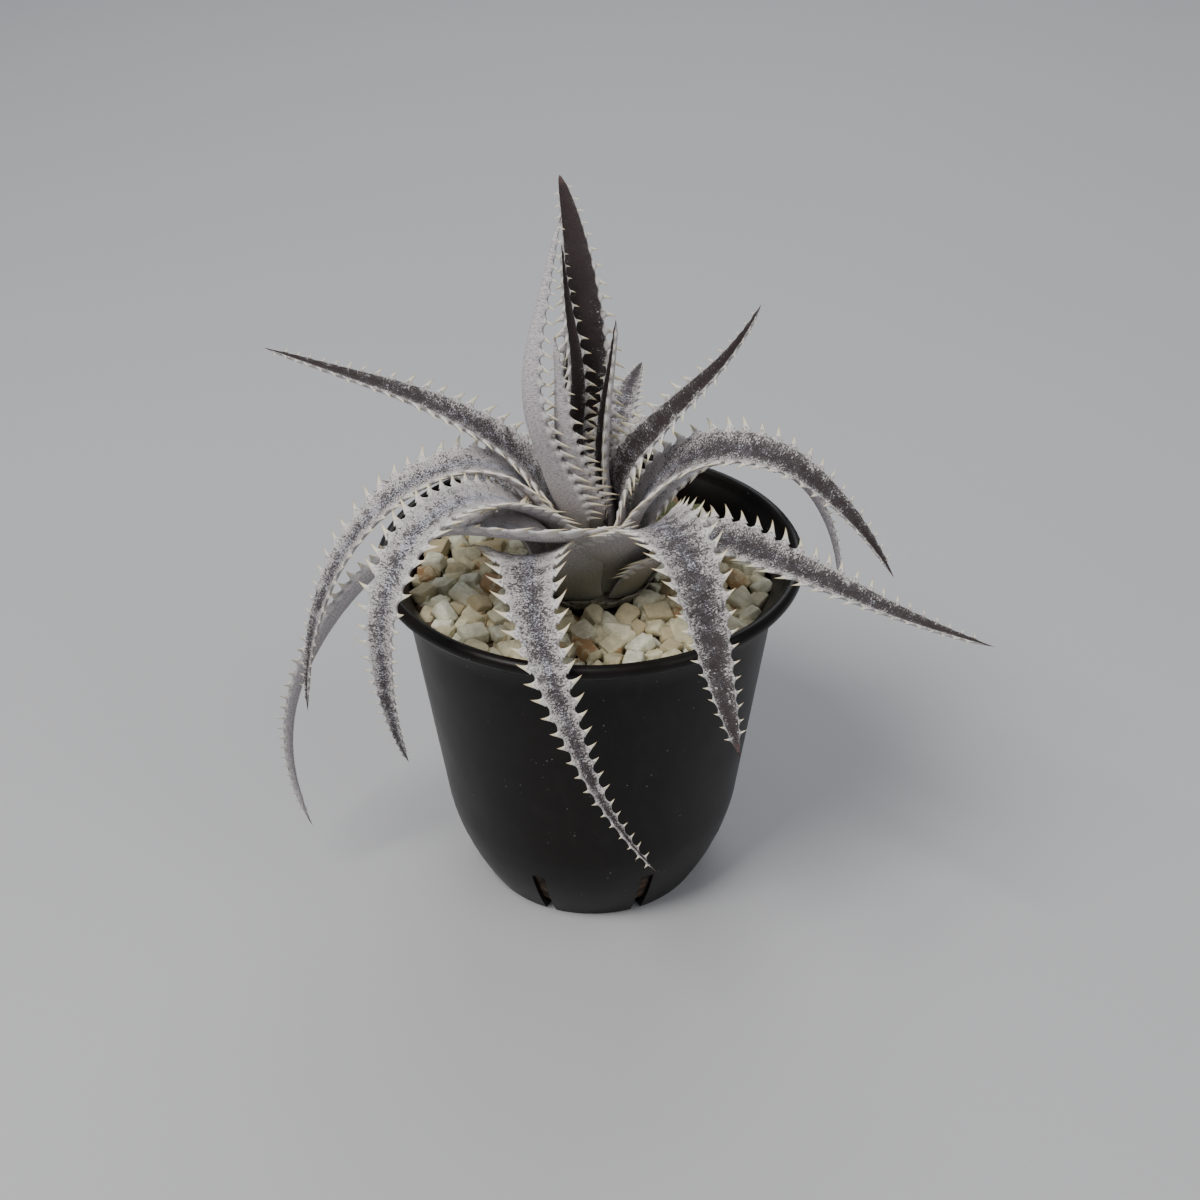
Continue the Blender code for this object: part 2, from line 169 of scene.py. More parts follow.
class NodeSheet:
    """A node tree being written, with short calls for the nodes this plant needs."""

    def __init__(self, tree: bpy.types.NodeTree) -> None:
        """Start writing in a tree."""
        self.tree = tree

    def add(self, kind: str, inputs: dict[str, object] | None = None,
            **settings: object) -> bpy.types.Node:
        """Add a node.

        Args:
            kind: The node's type.
            inputs: What its sockets are linked or set to, by name.
            settings: Properties to set on it.

        Returns:
            The new node.
        """
        node = self.tree.nodes.new(kind)
        for name, value in settings.items():
            setattr(node, name, value)
        for name, value in (inputs or {}).items():
            self.feed(node.inputs[name], value)
        return node

    def feed(self, socket: bpy.types.NodeSocket, value: object) -> None:
        """Link a socket to another, or set its value.

        Args:
            socket: The input.
            value: An output socket, a number, a colour or a vector.
        """
        if isinstance(value, bpy.types.NodeSocket):
            self.tree.links.new(value, socket)
        elif socket.type == "RGBA":
            socket.default_value = (*value[:3], 1.0)
        else:
            socket.default_value = value

    def math(self, operation: str, *values: object) -> bpy.types.NodeSocket:
        """Add a Math node and return its value."""
        node = self.add("ShaderNodeMath", operation=operation)
        for socket, value in zip(node.inputs, values):
            self.feed(socket, value)
        return node.outputs[0]

    def vector(self, operation: str, *values: object) -> bpy.types.NodeSocket:
        """Add a Vector Math node and return its vector."""
        node = self.add("ShaderNodeVectorMath", operation=operation)
        for socket, value in zip(node.inputs, values):
            self.feed(socket, value)
        return node.outputs["Vector"]

    def scaled(self, vector: object, amount: object) -> bpy.types.NodeSocket:
        """Add a Vector Math node that scales a vector, and return the result."""
        node = self.add("ShaderNodeVectorMath", {"Vector": vector, "Scale": amount},
                        operation="SCALE")
        return node.outputs["Vector"]

    def between(self, value: object, low: object, high: object) -> bpy.types.NodeSocket:
        """Ease a value from 0 at low to 1 at high.

        Args:
            value: The value to read.
            low: Where the result is 0.
            high: Where the result is 1.

        Returns:
            The eased value.
        """
        node = self.add("ShaderNodeMapRange", {"Value": value, "From Min": low, "From Max": high},
                        interpolation_type="SMOOTHSTEP")
        return node.outputs["Result"]

    def mix(self, share: object, first: object, second: object) -> bpy.types.NodeSocket:
        """Mix two colours.

        Args:
            share: How much of the second colour.
            first: The first colour.
            second: The second colour.

        Returns:
            The mixed colour.
        """
        node = self.add("ShaderNodeMix", {"Factor": share}, data_type="RGBA")
        colours = [socket for socket in node.inputs if socket.type == "RGBA"]
        self.feed(colours[0], first)
        self.feed(colours[1], second)
        return [socket for socket in node.outputs if socket.type == "RGBA"][0]

    def noise(self, vector: object, scale: float, detail: float = 3.0,
              roughness: float = 0.55, distortion: float = 0.0) -> bpy.types.NodeSocket:
        """Add a Noise Texture.

        Args:
            vector: Where it is read.
            scale: Features for each unit of the vector.
            detail: Octaves.
            roughness: How strong the finer octaves are.
            distortion: How much it is warped.

        Returns:
            The noise's value.
        """
        node = self.add("ShaderNodeTexNoise", {
            "Vector": vector, "Scale": scale, "Detail": detail, "Roughness": roughness,
            "Distortion": distortion})
        return node.outputs["Fac"]

    def cells(self, vector: object, scale: float) -> bpy.types.NodeSocket:
        """Add a Voronoi Texture.

        Args:
            vector: Where it is read.
            scale: Cells for each unit of the vector.

        Returns:
            The distance from the nearest cell's point.
        """
        node = self.add("ShaderNodeTexVoronoi", {"Vector": vector, "Scale": scale}, feature="F1")
        return node.outputs["Distance"]

    def attribute(self, name: str) -> bpy.types.NodeSocket:
        """Read a number that the mesh carries."""
        return self.add("ShaderNodeAttribute", attribute_name=name).outputs["Fac"]

    def place(self) -> bpy.types.NodeSocket:
        """Read Object coordinates."""
        return self.add("ShaderNodeTexCoord").outputs["Object"]


def shader_group(name: str, inputs: dict[str, str], outputs: dict[str, str]) -> bpy.types.NodeTree:
    """Start a shader node group.

    Args:
        name: Its name.
        inputs: Socket types by input name.
        outputs: Socket types by output name.

    Returns:
        The group, with its sockets and no nodes.
    """
    group = bpy.data.node_groups.new(name, "ShaderNodeTree")
    for label, kind in inputs.items():
        group.interface.new_socket(label, in_out="INPUT", socket_type=kind)
    for label, kind in outputs.items():
        group.interface.new_socket(label, in_out="OUTPUT", socket_type=kind)
    return group


def speckle_group() -> bpy.types.NodeTree:
    """Build the broken, wrinkled cover that scurf, dust and stains share.

    Returns:
        A group that reads a place and how much is covered, and gives a mask and a height.
    """
    number, vector = "NodeSocketFloat", "NodeSocketVector"
    group = shader_group(
        "speckled_cover",
        {"Place": vector, "Cover": number, "Softness": number},
        {"Mask": number, "Height": number})
    sheet = NodeSheet(group)
    source = sheet.add("NodeGroupInput").outputs
    fine = sheet.noise(source["Place"], 1.0, detail=4.0, roughness=0.62, distortion=0.9)
    broad = sheet.noise(source["Place"], 0.16, detail=2.0)
    value = sheet.math("ADD", sheet.math("MULTIPLY", fine, 0.78), sheet.math("MULTIPLY", broad, 0.22))
    edge = sheet.math("SUBTRACT", 0.74, sheet.math("MULTIPLY", source["Cover"], 0.48))
    low = sheet.math("SUBTRACT", edge, source["Softness"])
    high = sheet.math("ADD", edge, source["Softness"])
    mask = sheet.between(value, low, high)
    sheet.add("NodeGroupOutput", {"Mask": mask, "Height": sheet.math("ADD", mask, fine)})
    return group


def cover(sheet: NodeSheet, place: object, amount: object, softness: float) -> bpy.types.Node:
    """Put the speckled cover in a material.

    Args:
        sheet: The material's nodes.
        place: Where it is read, in units of about one speck.
        amount: How much is covered, from 0 to 1.
        softness: Half the width of a speck's soft edge.

    Returns:
        The group's node.
    """
    group = bpy.data.node_groups.get("speckled_cover") or speckle_group()
    return sheet.add("ShaderNodeGroup", {"Place": place, "Cover": amount, "Softness": softness},
                     node_tree=group)


@dataclass(frozen=True)
class Finish:
    """What every finish has: a name, and a shader that its own nodes feed."""

    name: str = "finish"

    def start(self) -> tuple[bpy.types.Material, NodeSheet, bpy.types.Node]:
        """Make the material.

        Returns:
            The material, its sheet and its Principled BSDF.
        """
        made = bpy.data.materials.new(self.name)
        made.use_nodes = True
        shader = made.node_tree.nodes["Principled BSDF"]
        return made, NodeSheet(made.node_tree), shader

    @staticmethod
    def dress(sheet: NodeSheet, shader: bpy.types.Node, colour: object, roughness: object,
              height: object, distance: float, strength: float = 1.0) -> None:
        """Feed a shader its colour, roughness and relief.

        Args:
            sheet: The material's nodes.
            shader: The shader.
            colour: The base colour.
            roughness: The roughness.
            height: The relief, in units of the distance.
            distance: What a height of 1 stands for, in metres.
            strength: How much of the relief shows.
        """
        sheet.feed(shader.inputs["Base Color"], colour)
        sheet.feed(shader.inputs["Roughness"], roughness)
        bump = sheet.add("ShaderNodeBump", {"Height": height, "Distance": distance,
                                            "Strength": strength})
        sheet.feed(shader.inputs["Normal"], bump.outputs["Normal"])


@dataclass(frozen=True)
class LeafFinish(Finish):
    """Dark purple-brown skin under silver scurf, with white margins and a smoother underside.

    Covers add up to how much of the skin the scurf hides, from 0 to 1. Grains are features for
    each millimetre across and along the leaf. A band is where a mask starts and where it is full:
    across the leaf, along it, or in a noise.
    """

    name: str = "leaf_scurf"
    skin: Colour = (0.026, 0.015, 0.015)
    dusty_skin: Colour = (0.042, 0.031, 0.035)
    scurf: Colour = (0.67, 0.625, 0.635)
    # Painted bluish reflection laid over the scurf in the leaf's channel.
    painted_channel_reflection: Colour = (0.41, 0.45, 0.54)
    under_skin: Colour = (0.31, 0.275, 0.29)
    under_scurf: Colour = (0.62, 0.585, 0.60)
    margin: Colour = (0.70, 0.67, 0.65)
    sheath: Colour = (0.25, 0.235, 0.175)
    tip: Colour = (0.085, 0.050, 0.045)
    outer_cover: float = 0.16
    patch_cover: float = 0.44
    base_cover: float = 0.20
    end_cover: float = -0.17
    thinning: float = 0.30
    fullest: float = 0.72
    patch_grain: float = 0.28
    speck_grain: Scales = (1.9, 2.6, 1.0)
    dust_grain: Scales = (5.0, 6.0, 1.0)
    tone_grain: Scales = (6.0, 4.0, 1.0)
    wrinkle_grain: Scales = (1.6, 4.2, 1.0)
    fibre_grain: Scales = (3.0, 0.22, 1.0)
    outer_band: Band = (0.15, 0.95)
    base_band: Band = (0.40, 0.12)
    end_band: Band = (0.45, 0.95)
    ground_band: Band = (0.02, 0.55)
    tone_band: Band = (0.36, 0.60)
    channel_reflection_band: Band = (0.42, 0.05)
    wrinkle_band: Band = (0.36, 0.58)
    bare_band: Band = (0.20, 0.06)
    margin_band: Band = (0.95, 1.14)
    tip_band: Band = (0.965, 0.99)
    dust_share: float = 0.17
    shaded_scurf: float = 0.46
    channel_reflection_share: float = 0.55
    speck_height: float = 0.00028

    def amount(self, sheet: NodeSheet, grain: object, across: object,
               along: object) -> bpy.types.NodeSocket:
        """Work out how much scurf a place has.

        Args:
            sheet: The material's nodes.
            grain: The place on the leaf, in millimetres.
            across: 0 in the channel and 1 at the margin.
            along: The share of the leaf's length.

        Returns:
            The cover, at most the fullest.
        """
        patches = sheet.noise(grain, self.patch_grain, detail=2.0)
        outer_half = sheet.between(across, *self.outer_band)
        amount = sheet.math("MULTIPLY_ADD", outer_half, self.outer_cover, sheet.attribute("scurf"))
        amount = sheet.math("MULTIPLY_ADD", patches, self.patch_cover, amount)
        near_base = sheet.between(along, *self.base_band)
        amount = sheet.math("MULTIPLY_ADD", near_base, self.base_cover, amount)
        near_end = sheet.between(along, *self.end_band)
        amount = sheet.math("MULTIPLY_ADD", near_end, self.end_cover, amount)
        return sheet.math("MINIMUM", sheet.math("SUBTRACT", amount, self.thinning), self.fullest)

    def upper(self, sheet: NodeSheet, grain: object, across: object, amount: object,
              specks: bpy.types.Node) -> bpy.types.NodeSocket:
        """Colour the upper face.

        Args:
            sheet: The material's nodes.
            grain: The place on the leaf, in millimetres.
            across: 0 in the channel and 1 at the margin.
            amount: How much scurf there is.
            specks: The scurf's speckled cover.

        Returns:
            The colour: dusty skin, and silver scurf with a painted bluish reflection in the channel.
        """
        dust = cover(sheet, sheet.vector("MULTIPLY", grain, self.dust_grain), amount, 0.06)
        ground = sheet.mix(sheet.between(amount, *self.ground_band), self.skin, self.dusty_skin)
        dusty = sheet.math("MULTIPLY", dust.outputs["Mask"], self.dust_share)
        ground = sheet.mix(dusty, ground, self.scurf)
        tone = sheet.noise(sheet.vector("MULTIPLY", grain, self.tone_grain), 1.0, detail=3.0)
        shaded = darker(self.scurf, self.shaded_scurf)
        pale = sheet.mix(sheet.between(tone, *self.tone_band), shaded, self.scurf)
        # Painted reflection: the scurf is turned bluish towards the middle of the channel.
        blue = sheet.math("MULTIPLY", sheet.between(across, *self.channel_reflection_band), self.channel_reflection_share)
        pale = sheet.mix(blue, pale, self.painted_channel_reflection)
        return sheet.mix(specks.outputs["Mask"], ground, pale)

    def bare_base(self, sheet: NodeSheet, grain: object, along: object, under: object,
                  colour: object) -> bpy.types.NodeSocket:
        """Lay the smooth, fibrous sheath colour over the leaf's base.

        Args:
            sheet: The material's nodes.
            grain: The place on the leaf, in millimetres.
            along: The share of the leaf's length.
            under: 0 on the upper face and 1 on the underside.
            colour: The colour under it.

        Returns:
            The colour.
        """
        bare = sheet.math("MULTIPLY", sheet.between(along, *self.bare_band), 0.9)
        bare = sheet.math("MULTIPLY", bare, sheet.math("MULTIPLY_ADD", under, 0.75, 0.25))
        fibres = sheet.noise(sheet.vector("MULTIPLY", grain, self.fibre_grain), 1.0, detail=2.0)
        sheath = sheet.mix(fibres, darker(self.sheath, 0.72), darker(self.sheath, 1.25))
        return sheet.mix(bare, colour, sheath)

    def build(self) -> bpy.types.Material:
        """Write the material.

        Returns:
            The material.
        """
        made, sheet, shader = self.start()
        grain = sheet.add("ShaderNodeUVMap", uv_map="grain").outputs["UV"]
        across, under, along = (sheet.attribute(name) for name in ("across", "under", "along"))
        amount = self.amount(sheet, grain, across, along)
        specks = cover(sheet, sheet.vector("MULTIPLY", grain, self.speck_grain), amount, 0.040)
        upper = self.upper(sheet, grain, across, amount, specks)
        wrinkles = sheet.noise(sheet.vector("MULTIPLY", grain, self.wrinkle_grain), 1.0, detail=3.0)
        wrinkled = sheet.between(wrinkles, *self.wrinkle_band)
        lower = sheet.mix(wrinkled, self.under_skin, self.under_scurf)
        colour = sheet.mix(under, upper, lower)
        colour = self.bare_base(sheet, grain, along, under, colour)
        edge = sheet.math("MULTIPLY", sheet.between(across, *self.margin_band), 0.9)
        colour = sheet.mix(edge, colour, self.margin)
        colour = sheet.mix(sheet.between(along, *self.tip_band), colour, self.tip)
        rough = sheet.math("MULTIPLY_ADD", specks.outputs["Mask"], 0.22, 0.52)
        shader.inputs["Specular IOR Level"].default_value = 0.35
        top = sheet.math("MULTIPLY", specks.outputs["Height"], sheet.math("SUBTRACT", 1.0, under))
        height = sheet.math("MULTIPLY_ADD", sheet.math("MULTIPLY", wrinkles, under), 0.5, top)
        self.dress(sheet, shader, colour, rough, height, self.speck_height)
        return made


@dataclass(frozen=True)
class SpineFinish(Finish):
    """Horny spines: white at the root, ivory, then tan at the point."""

    name: str = "spine_horn"
    root: Colour = (0.70, 0.67, 0.65)
    ivory: Colour = (0.77, 0.69, 0.48)
    point: Colour = (0.47, 0.29, 0.10)
    streak_scale: float = 900.0
    streak_height: float = 0.00004

    def build(self) -> bpy.types.Material:
        """Write the material.

        Returns:
            The material.
        """
        made, sheet, shader = self.start()
        share = sheet.attribute("spine_share")
        streaks = sheet.noise(sheet.place(), self.streak_scale, detail=2.0)
        body = sheet.mix(sheet.between(share, 0.10, 0.60), self.root, self.ivory)
        body = sheet.mix(sheet.between(share, 0.66, 1.05), body, self.point)
        body = sheet.mix(sheet.math("MULTIPLY", streaks, 0.25), body, self.root)
        rough = sheet.math("MULTIPLY_ADD", streaks, 0.2, 0.36)
        self.dress(sheet, shader, body, rough, streaks, self.streak_height)
        return made


@dataclass(frozen=True)
class PotFinish(Finish):
    """Satin black moulded plastic with a warm tint that is a painted reflection, with specks of dust
    and a faint grain.
    """

    name: str = "pot_plastic"
    # Black plastic, with a warm tint added as a painted reflection.
    plastic: Colour = (0.0060, 0.0044, 0.0038)
    dust: Colour = (0.20, 0.19, 0.18)
    speck_scale: float = 620.0
    film_scale: Scales = (160.0, 160.0, 90.0)
    film_cover: float = 0.30
    film_share: float = 0.025
    grain_scale: float = 2600.0
    grain_height: float = 0.00003

    def build(self) -> bpy.types.Material:
        """Write the material.

        Returns:
            The material.
        """
        made, sheet, shader = self.start()
        place = sheet.place()
        specks = sheet.cells(place, self.speck_scale)
        near = sheet.between(specks, 0.16, 0.06)
        chosen = sheet.between(sheet.noise(place, 210.0, detail=1.0), 0.60, 0.66)
        dots = sheet.math("MULTIPLY", near, chosen)
        film_place = sheet.vector("MULTIPLY", place, self.film_scale)
        film = cover(sheet, film_place, self.film_cover, 0.16).outputs["Mask"]
        dusty = sheet.math("ADD", dots, sheet.math("MULTIPLY", film, self.film_share))
        # The base colour here carries the painted warm reflection under the dust.
        body = sheet.mix(dusty, self.plastic, self.dust)
        rough = sheet.math("MULTIPLY_ADD", sheet.noise(place, 70.0, detail=4.0), 0.16, 0.30)
        rough = sheet.math("MULTIPLY_ADD", dusty, 0.4, rough)
        shader.inputs["Specular IOR Level"].default_value = 0.20
        height = sheet.math("ADD", sheet.noise(place, self.grain_scale, detail=2.0), dots)
        self.dress(sheet, shader, body, rough, height, self.grain_height, strength=0.8)
        return made


@dataclass(frozen=True)
class StoneFinish(Finish):
    """Cream gravel: each stone its own tone, some stained with rust and some with algae.

    The algae start at the damp band, measured in metres towards +X and +Y together. Scales are
    features for each metre.
    """

    name: str = "gravel_stone"
    tan: Colour = (0.42, 0.34, 0.20)
    cream: Colour = (0.64, 0.58, 0.38)
    white: Colour = (0.70, 0.70, 0.56)
    shade: Colour = (0.30, 0.26, 0.165)
    rust: Colour = (0.33, 0.165, 0.055)
    algae: Colour = (0.13, 0.15, 0.035)
    damp_band: Band = (0.036, 0.056)
    mottle_scale: float = 420.0
    rust_scale: float = 330.0
    algae_scale: float = 260.0
    pit_scale: float = 1500.0
    pit_height: float = 0.00035

    def build(self) -> bpy.types.Material:
        """Write the material.

        Returns:
            The material.
        """
        made, sheet, shader = self.start()
        place = sheet.place()
        tone = sheet.attribute("tone")
        stain = sheet.attribute("stain")
        body = sheet.mix(sheet.between(tone, 0.0, 0.45), self.tan, self.cream)
        body = sheet.mix(sheet.between(tone, 0.40, 0.95), body, self.white)
        mottle = sheet.noise(place, self.mottle_scale, detail=5.0, roughness=0.65)
        shaded = sheet.mix(0.45, body, self.shade)
        body = sheet.mix(sheet.between(mottle, 0.38, 0.62), shaded, body)
        stained = sheet.math("MULTIPLY", sheet.between(stain, 0.66, 1.0), 0.60)
        marks = cover(sheet, sheet.scaled(place, self.rust_scale), stained, 0.10)
        body = sheet.mix(sheet.math("MULTIPLY", marks.outputs["Mask"], 0.85), body, self.rust)
        split = sheet.add("ShaderNodeSeparateXYZ", {"Vector": place})
        behind = sheet.math("ADD", split.outputs["X"], split.outputs["Y"])
        behind = sheet.between(behind, *self.damp_band)
        damp = sheet.math("MULTIPLY", behind, sheet.between(stain, 0.45, 0.20))
        moss = cover(sheet, sheet.scaled(place, self.algae_scale), damp, 0.12)
        body = sheet.mix(sheet.math("MULTIPLY", moss.outputs["Mask"], 0.9), body, self.algae)
        rough = sheet.math("MULTIPLY_ADD", mottle, 0.3, 0.58)
        pits = sheet.noise(place, self.pit_scale, detail=3.0)
        height = sheet.math("ADD", mottle, sheet.math("MULTIPLY", pits, 0.35))
        self.dress(sheet, shader, body, rough, height, self.pit_height, strength=0.8)
        return made


@dataclass(frozen=True)
class SheathFinish(Finish):
    """Dry, papery leaf bases: grey-brown, with fibres running up them."""

    name: str = "dry_sheath"
    straw: Colour = (0.30, 0.27, 0.20)
    grey: Colour = (0.21, 0.20, 0.165)
    brown: Colour = (0.085, 0.048, 0.038)
    fibre_scale: Scales = (900.0, 900.0, 90.0)
    fibre_height: float = 0.0002

    def build(self) -> bpy.types.Material:
        """Write the material.

        Returns:
            The material.
        """
        made, sheet, shader = self.start()
        place = sheet.place()
        fibres = sheet.noise(sheet.vector("MULTIPLY", place, self.fibre_scale), 1.0, detail=3.0)
        body = sheet.mix(sheet.noise(place, 130.0), self.grey, self.straw)
        body = sheet.mix(sheet.between(fibres, 0.50, 0.68), body, self.brown)
        rough = sheet.math("MULTIPLY_ADD", fibres, 0.25, 0.62)
        self.dress(sheet, shader, body, rough, fibres, self.fibre_height)
        return made


@dataclass(frozen=True)
class SoilFinish(Finish):
    """Dark potting mix: bark, grit and a few pale grains."""

    name: str = "potting_mix"
    dark: Colour = (0.030, 0.020, 0.013)
    bark: Colour = (0.12, 0.075, 0.045)
    grit: Colour = (0.50, 0.47, 0.40)
    lump_scale: float = 420.0
    lump_height: float = 0.0012

    def build(self) -> bpy.types.Material:
        """Write the material.

        Returns:
            The material.
        """
        made, sheet, shader = self.start()
        place = sheet.place()
        lumps = sheet.cells(place, self.lump_scale)
        body = sheet.mix(sheet.between(lumps, 0.1, 0.8), self.bark, self.dark)
        pale = sheet.between(sheet.noise(place, 500.0), 0.64, 0.70)
        body = sheet.mix(pale, body, self.grit)
        rough = sheet.math("MULTIPLY_ADD", lumps, 0.2, 0.78)
        self.dress(sheet, shader, body, rough, lumps, self.lump_height)
        return made


@dataclass(frozen=True)
class FloorFinish(Finish):
    """The pale matt surface under the pot."""

    name: str = "floor_paint"
    paint: Colour = (0.50, 0.505, 0.52)
    worn: float = 0.97

    def build(self) -> bpy.types.Material:
        """Write the material.

        Returns:
            The material.
        """
        made, sheet, shader = self.start()
        tone = sheet.noise(sheet.place(), 6.0, detail=2.0)
        body = sheet.mix(tone, self.paint, darker(self.paint, self.worn))
        sheet.feed(shader.inputs["Base Color"], body)
        shader.inputs["Roughness"].default_value = 0.8
        return made


@dataclass(frozen=True)
class LeafPlan:
    """One leaf: where it is rooted, how it bends, its size, and how silvery it is.

    Angles are in degrees and lengths in metres. Pitches are read at the rosette's knots. Clasp
    and channel are half the angle that the sheath and the blade close round, hook is a turn in
    the first part, flare and lean act where the sheath ends, and bare is the length before the
    first spine.
    """

    name: str
    layer: int
    azimuth: float
    sweep: float
    length: float
    width: float
    pitches: tuple[float, ...]
    twist: float = 0.0
    hook: float = 0.0
    taper: float = 1.0
    clasp: float = 40.0
    channel: float = 22.0
    roll: float = 0.0
    flare: float = 0.0015
    lean: float = 0.0
    bare: float = 0.010
    scurf: float = 0.6


LEAVES = (
    LeafPlan("leaf_01", 0, 324, 2, 0.104, 0.0165, (62, 52, -5, -7, 2), clasp=36, roll=10, scurf=0.48),
    LeafPlan("leaf_02", 0, 236, 109, 0.117, 0.0205, (53, 60, -32, -59, -45), twist=35, taper=1.45,
             clasp=48, roll=-4, flare=0.0044, lean=8, bare=0.014, scurf=0.56),
    LeafPlan("leaf_03", 0, 137, 5, 0.096, 0.0150, (66, 25, -12, -45, -60), clasp=34, scurf=0.55),
    LeafPlan("leaf_04", 1, 295, -9, 0.106, 0.0215, (80, 54, 30, -53, -36), twist=7, taper=0.75,
             clasp=54, roll=6, flare=0.0048, lean=-5, bare=0.018, scurf=0.55),
    LeafPlan("leaf_05", 1, 87, 5, 0.096, 0.0150, (70, 32, -7, -45, -56), clasp=36, scurf=0.50),
    LeafPlan("leaf_06", 2, 266, 28, 0.165, 0.0190, (84, 29, -41, -68, -110), twist=-5, hook=-111,
             clasp=55, roll=21, flare=0.0045, lean=6, bare=0.018, scurf=0.6),
    LeafPlan("leaf_07", 2, 28, -2, 0.105, 0.0115, (75, 46, -18, -59, -87), twist=-2, clasp=38,
             flare=0.0018, lean=-2, scurf=0.50),
    LeafPlan("leaf_08", 2, 124, 4, 0.052, 0.0140, (86, 62, 16, -9, -20), clasp=38, scurf=0.55),
    LeafPlan("leaf_09", 3, 219, 35, 0.133, 0.0165, (89, 47, 7, -89, -120), twist=2, clasp=31,
             roll=-6, flare=0.0006, lean=2, scurf=0.64),
    LeafPlan("leaf_10", 3, 347, -26, 0.098, 0.0205, (82, 72, 29, -28, -53), twist=-2, roll=17,
             flare=0.0009, scurf=0.48),
    LeafPlan("leaf_11", 4, 188, 35, 0.119, 0.0165, (81, 62, -16, -61, -90), twist=-3, roll=1,
             flare=0.0006, lean=-6, scurf=0.62),
    LeafPlan("leaf_12", 4, 76, 4, 0.072, 0.0150, (65, 67, 9, -3, -12), twist=-3, roll=1, scurf=0.55),
    LeafPlan("leaf_13", 5, 181, -5, 0.093, 0.0150, (81, 69, 34, 19, 18), twist=-3, clasp=42,
             roll=-10, scurf=0.46),
    LeafPlan("leaf_14", 5, 98, 14, 0.092, 0.0167, (60, 80, 107, 72, 45), twist=-6, taper=0.63,
             clasp=34, channel=16, lean=-6, scurf=0.26),
    LeafPlan("leaf_15", 5, 350, 11, 0.076, 0.0120, (63, 102, 50, 47, 66), clasp=42, channel=16,
             roll=35, scurf=0.36),
    LeafPlan("leaf_16", 6, 231, -11, 0.091, 0.0120, (80, 68, 69, 107, 108), twist=-3, clasp=32,
             channel=32, roll=-2, scurf=0.40),
    LeafPlan("leaf_17", 6, 128, 1, 0.075, 0.0090, (86, 78, 104, 76, 86), twist=-2, clasp=38,
             lean=12, scurf=0.26),
    LeafPlan("leaf_18", 6, 14, 13, 0.058, 0.0080, (77, 104, 89, 80, 84), clasp=44, scurf=0.24),
    LeafPlan("leaf_19", 7, 254, -28, 0.062, 0.0105, (86, 70, 67, 86, 82), clasp=48, channel=32,
             scurf=0.35),
)


@dataclass(frozen=True)
class SpinePlan:
    """How spines are spaced, how large they grow and how they stand.

    Lengths are in metres, and a run is the length over which something changes. Sizes multiply
    the reach and the thickness. Leans, rises and curls are slopes against a spine's own reach.
    """

    near_pitch: float = 0.0019
    far_pitch: float = 0.0039
    pitch_run: float = 0.032
    tip_crowding: float = 0.30
    last_share: float = 0.97
    reach: float = 0.0034
    breadth: float = 0.35
    thickness: float = 0.00048
    first_size: float = 0.85
    shoulder_gain: float = 0.45
    shoulder_run: float = 0.006
    blade_loss: float = 0.30
    blade_start: float = 0.012
    blade_run: float = 0.016
    tip_loss: float = 0.58
    narrow_leaf_size: float = 0.70
    broad_leaf_width: float = 0.016
    root_share: float = 0.40
    root_depth: float = 0.0003
    first_lean: float = 0.08
    blade_lean: float = -0.40
    lean_run: float = 0.036
    tip_lean: float = 0.24
    lean_spread: float = 0.10
    rises: tuple[float, float] = (-0.12, 0.16)
    curl: float = -0.42
    tip_curl: float = 0.30
    curl_spread: float = 0.08
    sunk: float = 0.08
    foot_flare: float = 0.42
    point_radius: float = 0.02
    rings: int = 7
    sides: int = 8


